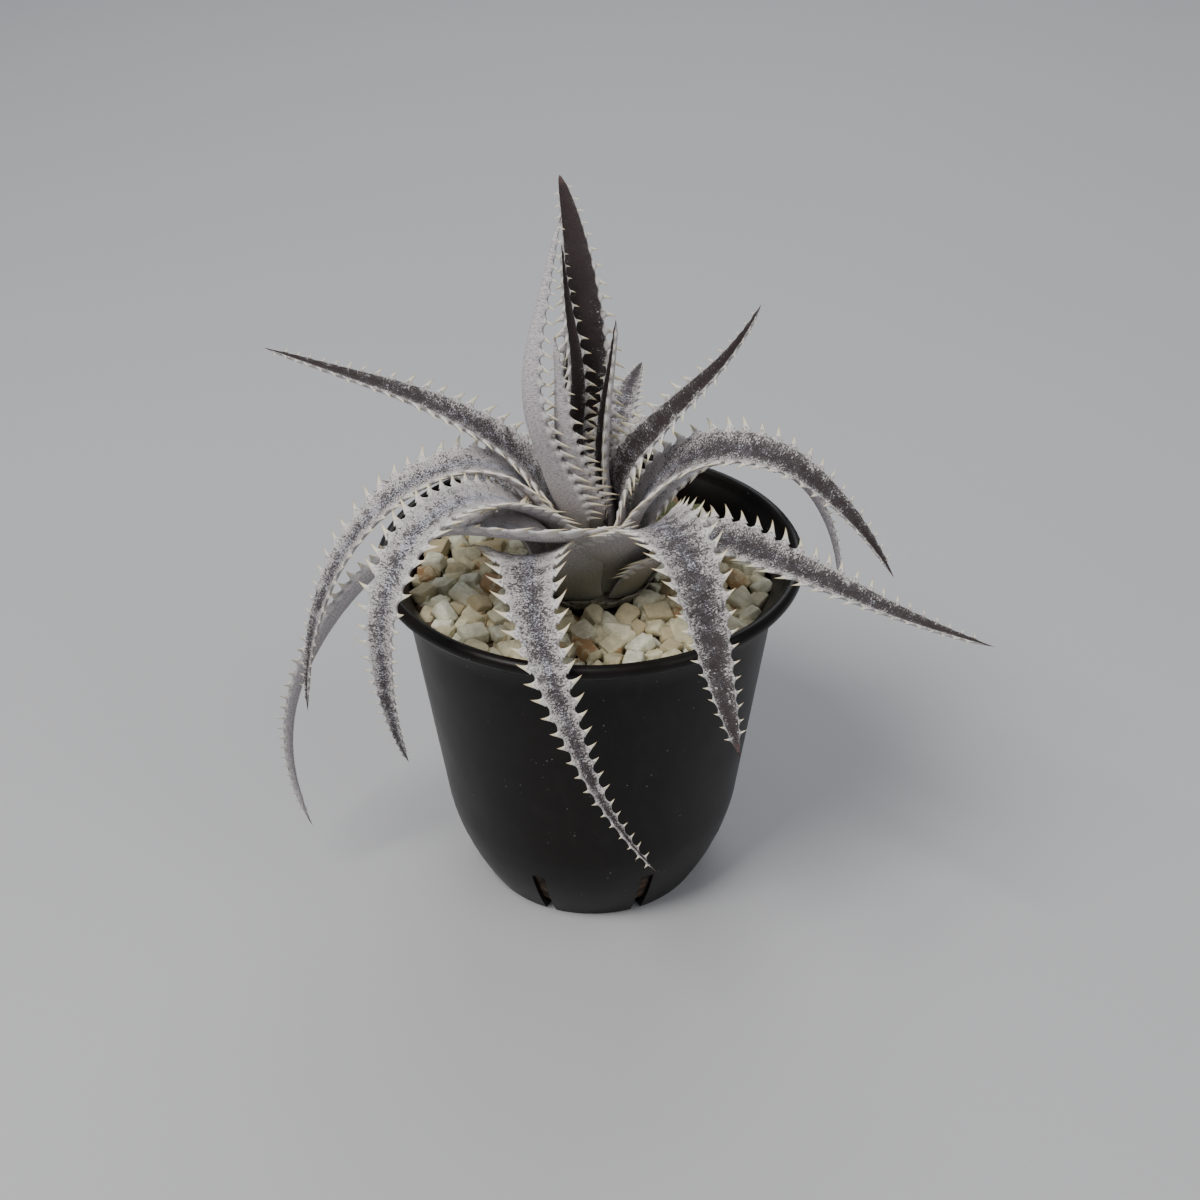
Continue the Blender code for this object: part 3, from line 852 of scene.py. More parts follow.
@dataclass
class Rosette:
    """The leaves, rooted in layers round the stem, with spines along both margins.

    Lengths are in metres, and shares are of a leaf's length. Across and below are places round a
    leaf's section, from -1 at the right margin to 1 at the left one.
    """

    outer_radius: float = 0.0132
    layer_step: float = 0.00145
    outer_height: float = 0.0860
    layer_rise: float = 0.0016
    sheath_thickness: float = 0.0009
    blade_thickness: float = 0.0019
    margin_thickness: float = 0.0008
    sheath_share: float = 0.28
    hook_share: float = 0.30
    pitch_knots: tuple[float, ...] = (0.0, 0.15, 0.4, 0.7, 1.0)
    centre_steps: int = 120
    roll_share: float = 0.35
    flare_share: float = 0.13
    flare_end: float = 0.34
    station_gap: float = 0.0005
    last_station: float = 0.992
    tip_run: float = 0.06
    tip_bluntness: float = 0.12
    tip_slimming: float = 0.55
    rim_slimming: float = 0.35
    rim_dip: float = 0.0001
    belly: float = 2.2
    cusp_height: float = 0.0017
    cusp_power: float = 1.9
    pulled_from: float = 0.62
    grain_shift: float = 3.7
    rim_place: float = 1.02
    across: tuple[float, ...] = (-1, -0.94, -0.84, -0.68, -0.47, -0.24, 0,
                                 0.24, 0.47, 0.68, 0.84, 0.94, 1)
    below: tuple[float, ...] = (0.97, 0.87, 0.67, 0.36, 0, -0.36, -0.67, -0.87, -0.97)
    leaves: tuple[LeafPlan, ...] = LEAVES
    spines: SpinePlan = SpinePlan()
    seed: int = 7

    def base_radius(self, leaf: LeafPlan) -> float:
        """Give the radius at which a leaf is rooted."""
        return self.outer_radius - self.layer_step * leaf.layer

    def base_height(self, leaf: LeafPlan) -> float:
        """Give the height at which a leaf is rooted."""
        return self.outer_height + self.layer_rise * leaf.layer

    def course(self, leaf: LeafPlan, shares: np.ndarray) -> tuple[np.ndarray, ...]:
        """Follow a leaf's centreline.

        Args:
            leaf: The leaf.
            shares: Shares of its length.

        Returns:
            Points, tangents, side directions and upward directions, a row for each share.
        """
        fine = np.linspace(0.0, 1.0, self.centre_steps + 1)
        pitch = np.radians(np.interp(fine, self.pitch_knots, leaf.pitches))
        early = smoothstep(fine / self.hook_share)
        heading = np.radians(leaf.azimuth + leaf.sweep * fine + leaf.hook * early)
        step = np.stack([np.cos(pitch) * np.cos(heading), np.cos(pitch) * np.sin(heading),
                         np.sin(pitch)], -1)
        start = math.radians(leaf.azimuth)
        radius = self.base_radius(leaf)
        path = np.zeros_like(step)
        path[0] = (radius * math.cos(start), radius * math.sin(start), self.base_height(leaf))
        path[1:] = path[0] + np.cumsum((step[1:] + step[:-1]) / 2, 0) * leaf.length / self.centre_steps
        points = np.stack([np.interp(shares, fine, path[:, i]) for i in range(3)], -1)
        tangents = np.stack([np.interp(shares, fine, step[:, i]) for i in range(3)], -1)
        tangents /= np.linalg.norm(tangents, axis=1)[:, None]
        turn = np.interp(shares, fine, heading)
        side = np.stack([-np.sin(turn), np.cos(turn), np.zeros_like(turn)], -1)
        up = np.cross(tangents, side)
        up /= np.linalg.norm(up, axis=1)[:, None]
        roll = leaf.twist * shares + leaf.roll * smoothstep(shares / self.roll_share)
        roll = roll + leaf.lean * self.shoulder(shares)
        roll = np.radians(roll)[:, None]
        return (points, tangents, side * np.cos(roll) + up * np.sin(roll),
                up * np.cos(roll) - side * np.sin(roll))

    def shoulder(self, shares: np.ndarray) -> np.ndarray:
        """Rise from 0 at a leaf's base to 1 where its sheath ends, and fall back on the blade.

        Args:
            shares: Shares of the leaf's length.

        Returns:
            The rise at each share, from 0 to 1.
        """
        closed = smoothstep((shares - self.flare_share) / (self.flare_end - self.flare_share))
        return smoothstep(shares / self.flare_share) * (1 - closed)

    def spread_out(self, leaf: LeafPlan, shares: np.ndarray) -> tuple[np.ndarray, ...]:
        """Give how wide and how channelled a leaf is: a clasping sheath, a flare, then the blade.

        Args:
            leaf: The leaf.
            shares: Shares of its length.

        Returns:
            Half its width round the channel, and half the channel's angle in radians.
        """
        grown = smoothstep(shares / self.sheath_share)
        base_half = self.base_radius(leaf) * math.radians(leaf.clasp)
        half = base_half + (leaf.width * (1 - shares) ** leaf.taper / 2 - base_half) * grown
        half = half + leaf.flare * self.shoulder(shares)
        return half, np.radians(leaf.clasp + (leaf.channel - leaf.clasp) * grown)

    def spine_shares(self, leaf: LeafPlan, hand: Hand) -> np.ndarray:
        """Space the spines of one margin: crowded on the sheath, wider apart on the blade.

        Args:
            leaf: The leaf.
            hand: Which margin.

        Returns:
            The share of the leaf's length at each spine.
        """
        draw = random.Random(f"{leaf.name} {hand.name} {self.seed}")
        place = leaf.bare + draw.uniform(0.0, 0.001)
        shares = []
        while place < leaf.length * self.spines.last_share:
            share = place / leaf.length
            shares.append(share)
            pitch = float(self.spine_pitch(leaf, share))
            place += pitch * draw.uniform(0.88, 1.12)
        return np.array(shares)

    def spine_pitch(self, leaf: LeafPlan, shares: np.ndarray | float) -> np.ndarray | float:
        """Give how far apart spines stand along a leaf.

        Args:
            leaf: The leaf.
            shares: Shares of its length.

        Returns:
            The pitch at each share, in metres.
        """
        plan = self.spines
        grown = smoothstep(shares * leaf.length / plan.pitch_run)
        pitch = plan.near_pitch + (plan.far_pitch - plan.near_pitch) * grown
        return pitch * (1 - plan.tip_crowding * smoothstep((shares - 0.55) / 0.45))

    def spine_size(self, leaf: LeafPlan, shares: np.ndarray) -> np.ndarray:
        """Give how large spines are: largest where the sheath ends, smaller towards the tip.

        Args:
            leaf: The leaf.
            shares: Shares of its length.

        Returns:
            The size at each share, against the plan's reach.
        """
        plan = self.spines
        place = shares * leaf.length - leaf.bare
        grown = plan.first_size + plan.shoulder_gain * smoothstep(place / plan.shoulder_run)
        grown = grown - plan.blade_loss * smoothstep((place - plan.blade_start) / plan.blade_run)
        broad = min(1.0, leaf.width / plan.broad_leaf_width)
        grown = grown * (plan.narrow_leaf_size + (1 - plan.narrow_leaf_size) * broad)
        return grown * (1 - plan.tip_loss * smoothstep((shares - 0.42) / 0.54))

    def cusp(self, leaf: LeafPlan, hand: Hand, shares: np.ndarray) -> np.ndarray:
        """Give how far the margin is drawn out towards its spines.

        Args:
            leaf: The leaf.
            hand: Which margin.
            shares: Shares of the leaf's length.

        Returns:
            The margin's extra reach at each share, in metres.
        """
        spines = self.spine_shares(leaf, hand)
        away = np.abs(shares[:, None] - spines[None, :]) * leaf.length
        nearest = away.argmin(1)
        pitch = np.gradient(spines) * leaf.length
        closeness = np.clip(1 - away.min(1) / (pitch[nearest] * 0.5), 0, 1) ** self.cusp_power
        crowd = self.spine_pitch(leaf, shares) / self.spines.far_pitch
        return self.cusp_height * closeness * self.spine_size(leaf, shares) * crowd

    def sections(self, leaf: LeafPlan, shares: np.ndarray) -> dict[str, np.ndarray]:
        """Work out every point of a leaf's skin.

        Args:
            leaf: The leaf.
            shares: The shares of its length where it has a section.

        Returns:
            Points by section and place round it, with the numbers that the finish reads.
        """
        points, _, side, up = self.course(leaf, shares)
        grown = smoothstep(shares / self.sheath_share)
        half, spread = self.spread_out(leaf, shares)
        bend = half / spread
        slim = 1 - self.tip_slimming * smoothstep((shares - 0.5) / 0.5)
        end = np.clip((1 - shares) / self.tip_run, self.tip_bluntness, 1.0)
        middle = self.sheath_thickness + (self.blade_thickness - self.sheath_thickness) * grown
        middle = middle * slim * end
        rim = self.margin_thickness * (1 - self.rim_slimming * smoothstep((shares - 0.4) / 0.6)) * end
        centre = points + up * bend[:, None]
        reach = {hand: self.cusp(leaf, hand, shares) for hand in Hand}
        rows, acrosses, unders, arcs = [], [], [], []
        places = [(u, False) for u in self.across] + [(self.rim_place, None)]
        places += [(u, True) for u in self.below] + [(-self.rim_place, None)]
        for u, lower in places:
            angle = spread * u
            outward = side * np.sin(angle)[:, None] - up * np.cos(angle)[:, None]
            if lower is None:
                depth = rim * 0.5
            elif lower:
                depth = rim + (middle - rim) * (1 - abs(u) ** self.belly)
            else:
                depth = -self.rim_dip * end * smoothstep((abs(u) - 0.8) / 0.2)
            hand = Hand.LEFT if u > 0 else Hand.RIGHT
            along_arc = side * (np.cos(spread) * hand.value)[:, None] + up * np.sin(spread)[:, None]
            pull = reach[hand] * max(0.0, (abs(u) - self.pulled_from) / (1 - self.pulled_from)) ** 2
            rows.append(centre + outward * (bend + depth)[:, None] + along_arc * pull[:, None])
            acrosses.append(abs(u) + pull / self.cusp_height)
            unders.append(np.full(len(shares), 1.0 if lower else 0.5 if lower is None else 0.0))
            arcs.append(half * u * (-1 if lower else 1))
        return {"points": np.stack(rows, 1), "across": np.stack(acrosses, 1),
                "under": np.stack(unders, 1), "arc": np.stack(arcs, 1)}

    def blade(self, leaf: LeafPlan) -> bpy.types.Mesh:
        """Loft a leaf's blade, and leave a loose point at the root of each spine.

        Args:
            leaf: The leaf.

        Returns:
            Its mesh, with the attributes that the spines and the finish read.
        """
        count = int(leaf.length * self.last_station / self.station_gap)
        shares = np.linspace(0.0, self.last_station, count)
        skin = self.sections(leaf, shares)
        grid = skin["points"]
        stations, ring = grid.shape[:2]
        tip = self.course(leaf, np.array([1.0]))[0]
        verts = np.concatenate([grid.reshape(-1, 3), tip])
        faces, uvs = [], []
        along = shares * leaf.length / MM
        offset = sum(map(ord, leaf.name)) * self.grain_shift
        for i in range(stations - 1):
            for j in range(ring):
                k = (j + 1) % ring
                faces.append((i * ring + j, (i + 1) * ring + j, (i + 1) * ring + k, i * ring + k))
                for a, b in ((i, j), (i + 1, j), (i + 1, k), (i, k)):
                    uvs.append((skin["arc"][a, b] / MM + offset, along[a] + offset))
        for j in range(ring):
            last = (stations - 1) * ring
            faces.append((last + j, stations * ring, last + (j + 1) % ring))
            uvs += [(offset, along[-1] + offset)] * 3
        faces.append(tuple(range(ring)))
        uvs += [(skin["arc"][0, b] / MM + offset, offset) for b in range(ring)]
        roots, outs, alongs, sizes, hooks = self.spine_roots(leaf)
        total = len(verts) + len(roots)
        mesh = bpy.data.meshes.new(leaf.name)
        mesh.from_pydata(np.concatenate([verts, roots]).tolist(), [], faces)
        layer = mesh.uv_layers.new(name="grain")
        layer.data.foreach_set("uv", np.array(uvs, np.float32).ravel())
        loose = np.zeros(len(roots))
        numbers = {
            "scurf": np.full(total, leaf.scurf),
            "across": np.concatenate([skin["across"].ravel(), [0.0], loose]),
            "under": np.concatenate([skin["under"].ravel(), [0.0], loose]),
            "along": np.concatenate([np.repeat(shares, ring), [1.0], loose]),
            "spine_root": np.concatenate([np.zeros(len(verts)), loose + 1]),
            "curl": np.concatenate([np.zeros(len(verts)), hooks]),
        }
        for name, values in numbers.items():
            made = mesh.attributes.new(name, "FLOAT", "POINT")
            made.data.foreach_set("value", np.asarray(values, np.float32))
        for name, values in {"outward": outs, "lengthwise": alongs, "size": sizes}.items():
            made = mesh.attributes.new(name, "FLOAT_VECTOR", "POINT")
            filled = np.concatenate([np.tile((0.0, 0.0, 1.0), (len(verts), 1)), values])
            made.data.foreach_set("vector", filled.astype(np.float32).ravel())
        mesh.shade_smooth()
        return mesh

    def spine_roots(self, leaf: LeafPlan) -> tuple[np.ndarray, ...]:
        """Place the roots of a leaf's spines.

        Args:
            leaf: The leaf.

        Returns:
            Root points, directions outwards and lengthwise, half breadth, half thickness and
            reach, and how far each curls.
        """
        draw = random.Random(f"spines {leaf.name} {self.seed}")
        plan = self.spines
        found: list[tuple] = []
        for hand in Hand:
            shares = self.spine_shares(leaf, hand)
            points, tangents, side, up = self.course(leaf, shares)
            half, spread = self.spread_out(leaf, shares)
            bend = half / spread
            sizes = self.spine_size(leaf, shares)
            cusps = self.cusp(leaf, hand, shares)
            for i, share in enumerate(shares):
                angle = spread[i] * hand.value
                outward = side[i] * math.sin(angle) - up[i] * math.cos(angle)
                along_arc = side[i] * math.cos(spread[i]) * hand.value + up[i] * math.sin(spread[i])
                margin = points[i] + up[i] * bend[i] + outward * (bend[i] + plan.root_depth)
                root = margin + along_arc * (cusps[i] * plan.root_share)
                settled = smoothstep(share * leaf.length / plan.lean_run)
                lean = plan.first_lean + plan.blade_lean * settled + plan.tip_lean * share
                lean += draw.uniform(-plan.lean_spread, plan.lean_spread)
                rise = draw.uniform(*plan.rises)
                direction = along_arc + tangents[i] * lean - outward * rise
                direction /= np.linalg.norm(direction)
                reach = plan.reach * sizes[i] * draw.uniform(0.88, 1.12)
                breadth = plan.breadth * self.spine_pitch(leaf, share) * sizes[i]
                curl = plan.curl + plan.tip_curl * share
                curl += draw.uniform(-plan.curl_spread, plan.curl_spread)
                size = (breadth, plan.thickness * sizes[i], reach)
                found.append((root, direction, tangents[i], size, curl * reach))
        return tuple(np.array([item[i] for item in found]) for i in range(5))

    def spine_tree(self) -> bpy.types.NodeTree:
        """Write the tree that grows spines from the loose points of a leaf's mesh.

        Returns:
            The tree, with named inputs for a spine's sizes and both finishes.
        """
        tree = bpy.data.node_groups.new("grow_spines", "GeometryNodeTree")
        face = tree.interface
        face.new_socket("Geometry", in_out="INPUT", socket_type="NodeSocketGeometry")
        for label in ("Flare", "Tip radius"):
            face.new_socket(label, in_out="INPUT", socket_type="NodeSocketFloat")
        for label in ("Rings", "Sides"):
            face.new_socket(label, in_out="INPUT", socket_type="NodeSocketInt")
        for label in ("Leaf finish", "Spine finish"):
            face.new_socket(label, in_out="INPUT", socket_type="NodeSocketMaterial")
        face.new_socket("Geometry", in_out="OUTPUT", socket_type="NodeSocketGeometry")
        sheet = NodeSheet(tree)
        source = sheet.add("NodeGroupInput").outputs

        def named(name: str, kind: str = "FLOAT") -> bpy.types.NodeSocket:
            """Read an attribute by name."""
            node = sheet.add("GeometryNodeInputNamedAttribute", {"Name": name}, data_type=kind)
            return node.outputs["Attribute"]

        lengthwise = named("lengthwise", "FLOAT_VECTOR")
        is_root = sheet.math("GREATER_THAN", named("spine_root"), 0.5)
        split = sheet.add("GeometryNodeSeparateGeometry", {
            "Geometry": source["Geometry"], "Selection": is_root}, domain="POINT")
        line = sheet.add("GeometryNodeCurvePrimitiveLine", {
            "Start": (0.0, 0.0, -self.spines.sunk), "End": (0.0, 0.0, 1.0)})
        rings = sheet.add("GeometryNodeResampleCurve", {
            "Curve": line.outputs["Curve"], "Count": source["Rings"]}, mode="COUNT")
        share = sheet.add("GeometryNodeSplineParameter").outputs["Factor"]
        left = sheet.math("SUBTRACT", 1.0, share)
        flare = sheet.math("MULTIPLY", sheet.math("POWER", left, 4.0), source["Flare"])
        plain = sheet.math("SUBTRACT", 1.0, source["Flare"])
        slender = sheet.math("MULTIPLY", sheet.math("POWER", left, 0.85), plain)
        radius = sheet.math("ADD", sheet.math("ADD", flare, slender), source["Tip radius"])
        marked = sheet.add("GeometryNodeStoreNamedAttribute", {
            "Geometry": rings.outputs["Curve"], "Name": "spine_share", "Value": share},
            data_type="FLOAT", domain="POINT")
        profile = sheet.add("GeometryNodeCurvePrimitiveCircle", {
            "Resolution": source["Sides"], "Radius": 1.0}, mode="RADIUS")
        skin = sheet.add("GeometryNodeCurveToMesh", {
            "Curve": marked.outputs["Geometry"], "Profile Curve": profile.outputs["Curve"],
            "Scale": radius, "Fill Caps": True})
        turn = sheet.add("FunctionNodeAxesToRotation", {
            "Primary Axis": named("outward", "FLOAT_VECTOR"), "Secondary Axis": lengthwise},
            primary_axis="Z", secondary_axis="X")
        spines = sheet.add("GeometryNodeInstanceOnPoints", {
            "Points": split.outputs["Selection"], "Instance": skin.outputs["Mesh"],
            "Rotation": turn.outputs["Rotation"], "Scale": named("size", "FLOAT_VECTOR")})
        real = sheet.add("GeometryNodeRealizeInstances", {"Geometry": spines.outputs["Instances"]})
        bent = sheet.math("POWER", named("spine_share"), 2.0)
        curled = sheet.math("MULTIPLY", named("curl"), bent)
        moved = sheet.add("GeometryNodeSetPosition", {
            "Geometry": real.outputs["Geometry"], "Offset": sheet.scaled(lengthwise, curled)})
        smooth = sheet.add("GeometryNodeSetShadeSmooth", {"Geometry": moved.outputs["Geometry"]})
        whole = sheet.add("GeometryNodeJoinGeometry")
        for geometry, label in ((split.outputs["Inverted"], "Leaf finish"),
                                (smooth.outputs["Geometry"], "Spine finish")):
            dressed = sheet.add("GeometryNodeSetMaterial", {
                "Geometry": geometry, "Material": source[label]})
            sheet.feed(whole.inputs["Geometry"], dressed.outputs["Geometry"])
        sheet.add("NodeGroupOutput", {"Geometry": whole.outputs["Geometry"]})
        return tree

    def build(self, leaf_finish: bpy.types.Material,
              spine_finish: bpy.types.Material) -> list[bpy.types.Object]:
        """Make every leaf with its spines.

        Args:
            leaf_finish: The blades' material.
            spine_finish: The spines' material.

        Returns:
            The leaves.
        """
        tree = self.spine_tree()
        plan = self.spines
        inputs = {"Flare": plan.foot_flare, "Tip radius": plan.point_radius, "Rings": plan.rings,
                  "Sides": plan.sides, "Leaf finish": leaf_finish, "Spine finish": spine_finish}
        made = []
        for leaf in self.leaves:
            piece = mesh_object(f"{leaf.name}_blade_and_spines", self.blade(leaf))
            growth = piece.modifiers.new("spines", "NODES")
            growth.node_group = tree
            for label, value in inputs.items():
                set_input(growth, label, value)
            baked(piece)
            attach(piece, "root")
            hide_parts(leaf.name)
            made.append(piece)
            LOG.info("%s: %d faces", piece.name, len(piece.data.polygons))
        return made


@dataclass
class Pot:
    """The nursery pot: rolled lip, flared collar, tapered wall, and a slit shoulder and foot."""

    rim_radius: float = 0.0525
    height: float = 0.093
    lip_height: float = 0.0036
    lip_inner_radius: float = 0.0494
    wall: float = 0.0013
    collar_drop: float = 0.0072
    wall_top_radius: float = 0.0462
    shoulder_radius: float = 0.0376
    shoulder_height: float = 0.0235
    shoulder_bulge: float = 0.0012
    foot_radius: float = 0.0285
    slit_count: int = 8
    slit_half_angle: float = 2.75
    slit_top: float = 0.019
    slit_inner_radius: float = 0.0225
    lip_ease: float = 0.0006
    lip_undercut: float = 0.0004
    lip_steps: int = 8
    collar_fillet: float = 0.0010
    collar_step: float = 0.0008
    wall_steps: int = 13
    shoulder_shares: tuple[float, ...] = (0.0, 0.08, 0.19, 0.30, 0.42, 0.54, 0.66, 0.78, 0.88, 0.95)
    floor_radii: tuple[float, ...] = (0.0265, 0.0245, 0.0225, 0.017, 0.009)
    floor_share: float = 0.8
    crease: float = 38.0
    columns: int = 176

    def lip(self) -> list[tuple[float, float]]:
        """Round the rolled lip from inside, over its crest, to under its outer edge."""
        round_radius = self.lip_height / 2
        middle = self.height - round_radius
        outer = self.rim_radius - round_radius
        inner = self.lip_inner_radius
        points = [(inner - self.lip_undercut, middle - self.lip_ease),
                  (inner, middle + self.lip_ease),
                  (inner + self.lip_ease, self.height - self.lip_ease / 2)]
        for step in range(self.lip_steps + 1):
            angle = math.radians(90 - 180 * step / self.lip_steps)
            points.append((outer + round_radius * math.cos(angle),
                           middle + round_radius * math.sin(angle)))
        points.append((inner + self.lip_undercut,
                       self.height - self.lip_height + self.lip_undercut / 2))
        return points

    def wall_rows(self) -> list[tuple[float, float, float, float]]:
        """Pair outer and inner points down the wall and shoulder, and in along the foot.

        Returns:
            Outer radius and height, then inner radius and height, for each row.
        """
        top = self.height - self.collar_drop
        rows = [(self.wall_top_radius + self.collar_step, top + self.collar_fillet,
                 self.lip_inner_radius - self.collar_fillet,
                 self.height - self.lip_height + self.lip_ease),
                (self.wall_top_radius, top, self.wall_top_radius - self.wall,
                 top + self.lip_undercut)]
        for step in range(1, self.wall_steps):
            share = step / self.wall_steps
            radius = self.wall_top_radius + (self.shoulder_radius - self.wall_top_radius) * share
            height = top + (self.shoulder_height - top) * share
            rows.append((radius, height, radius - self.wall, height))
        for share in self.shoulder_shares:
            bulge = self.shoulder_bulge * 4 * share * (1 - share)
            radius = self.shoulder_radius + (self.foot_radius - self.shoulder_radius) * share + bulge
            height = self.shoulder_height * (1 - share)
            rows.append((radius, height, radius - self.wall, max(height, self.wall + self.lip_ease)))
        for radius in (self.foot_radius, *self.floor_radii):
            rows.append((radius, 0.0, radius - self.wall * self.floor_share, self.wall))
        return rows

    def angles(self) -> tuple[list[float], list[bool]]:
        """Spread the columns so that each slit has its own.

        Returns:
            The angles in degrees, and for each whether a slit opens after it.
        """
        sector = 360 / self.slit_count
        plain = self.columns // self.slit_count - 3
        angles, open_after = [], []
        for i in range(self.slit_count):
            middle = sector * (i + 0.5)
            first = middle - self.slit_half_angle
            for step in range(3):
                angles.append(first + self.slit_half_angle * step)
                open_after.append(step < 2)
            gap = sector - 2 * self.slit_half_angle
            for step in range(1, plain + 1):
                angles.append(middle + self.slit_half_angle + gap * step / (plain + 1))
                open_after.append(False)
        return angles, open_after

    def build(self, finish: bpy.types.Material) -> bpy.types.Object:
        """Make the pot.

        Args:
            finish: Its material.

        Returns:
            The pot.
        """
        angles, open_after = self.angles()
        rows = self.wall_rows()
        count = len(angles)
        slit_rows = [i for i, row in enumerate(rows)
                     if row[1] <= self.slit_top and row[0] >= self.slit_inner_radius]
        first, last = slit_rows[0], slit_rows[-1]
        bm = bmesh.new()

        def ring(radius: float, height: float) -> list[bmesh.types.BMVert]:
            """Lay a ring of points."""
            return [bm.verts.new((radius * math.cos(math.radians(a)),
                                  radius * math.sin(math.radians(a)), height)) for a in angles]

        lip = [ring(*point) for point in self.lip()]
        outer = [ring(row[0], row[1]) for row in rows]
        inner = [ring(row[2], row[3]) for row in rows]

        def band(upper: list, lower: list, skip: bool = False) -> None:
            """Close the faces between two rings, but not over the slits where told to skip."""
            for j in range(count):
                if not (skip and open_after[j]):
                    k = (j + 1) % count
                    bm.faces.new((upper[j], lower[j], lower[k], upper[k]))

        for upper, lower in zip(lip, lip[1:]):
            band(upper, lower)
        band(lip[-1], outer[0])
        band(inner[0], lip[0])
        for i in range(len(rows) - 1):
            cut = first <= i < last
            band(outer[i], outer[i + 1], cut)
            band(inner[i + 1], inner[i], cut)
        for bottom in (outer[-1], inner[-1]):
            bm.faces.new(bottom)
        for j in range(count):
            k = (j + 1) % count
            if open_after[j]:
                for i in (first, last):
                    bm.faces.new((outer[i][j], outer[i][k], inner[i][k], inner[i][j]))
            if open_after[j] != open_after[j - 1]:
                for i in range(first, last):
                    bm.faces.new((outer[i][j], outer[i + 1][j], inner[i + 1][j], inner[i][j]))
        bmesh.ops.recalc_face_normals(bm, faces=bm.faces)
        mesh = mesh_from(bm, "pot")
        mesh.materials.append(finish)
        mesh.shade_smooth()
        mesh.set_sharp_from_angle(angle=math.radians(self.crease))
        piece = mesh_object("nursery_pot", mesh)
        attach(piece, "root")
        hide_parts("pot")
        LOG.info("%s: %d faces", piece.name, len(mesh.polygons))
        return piece


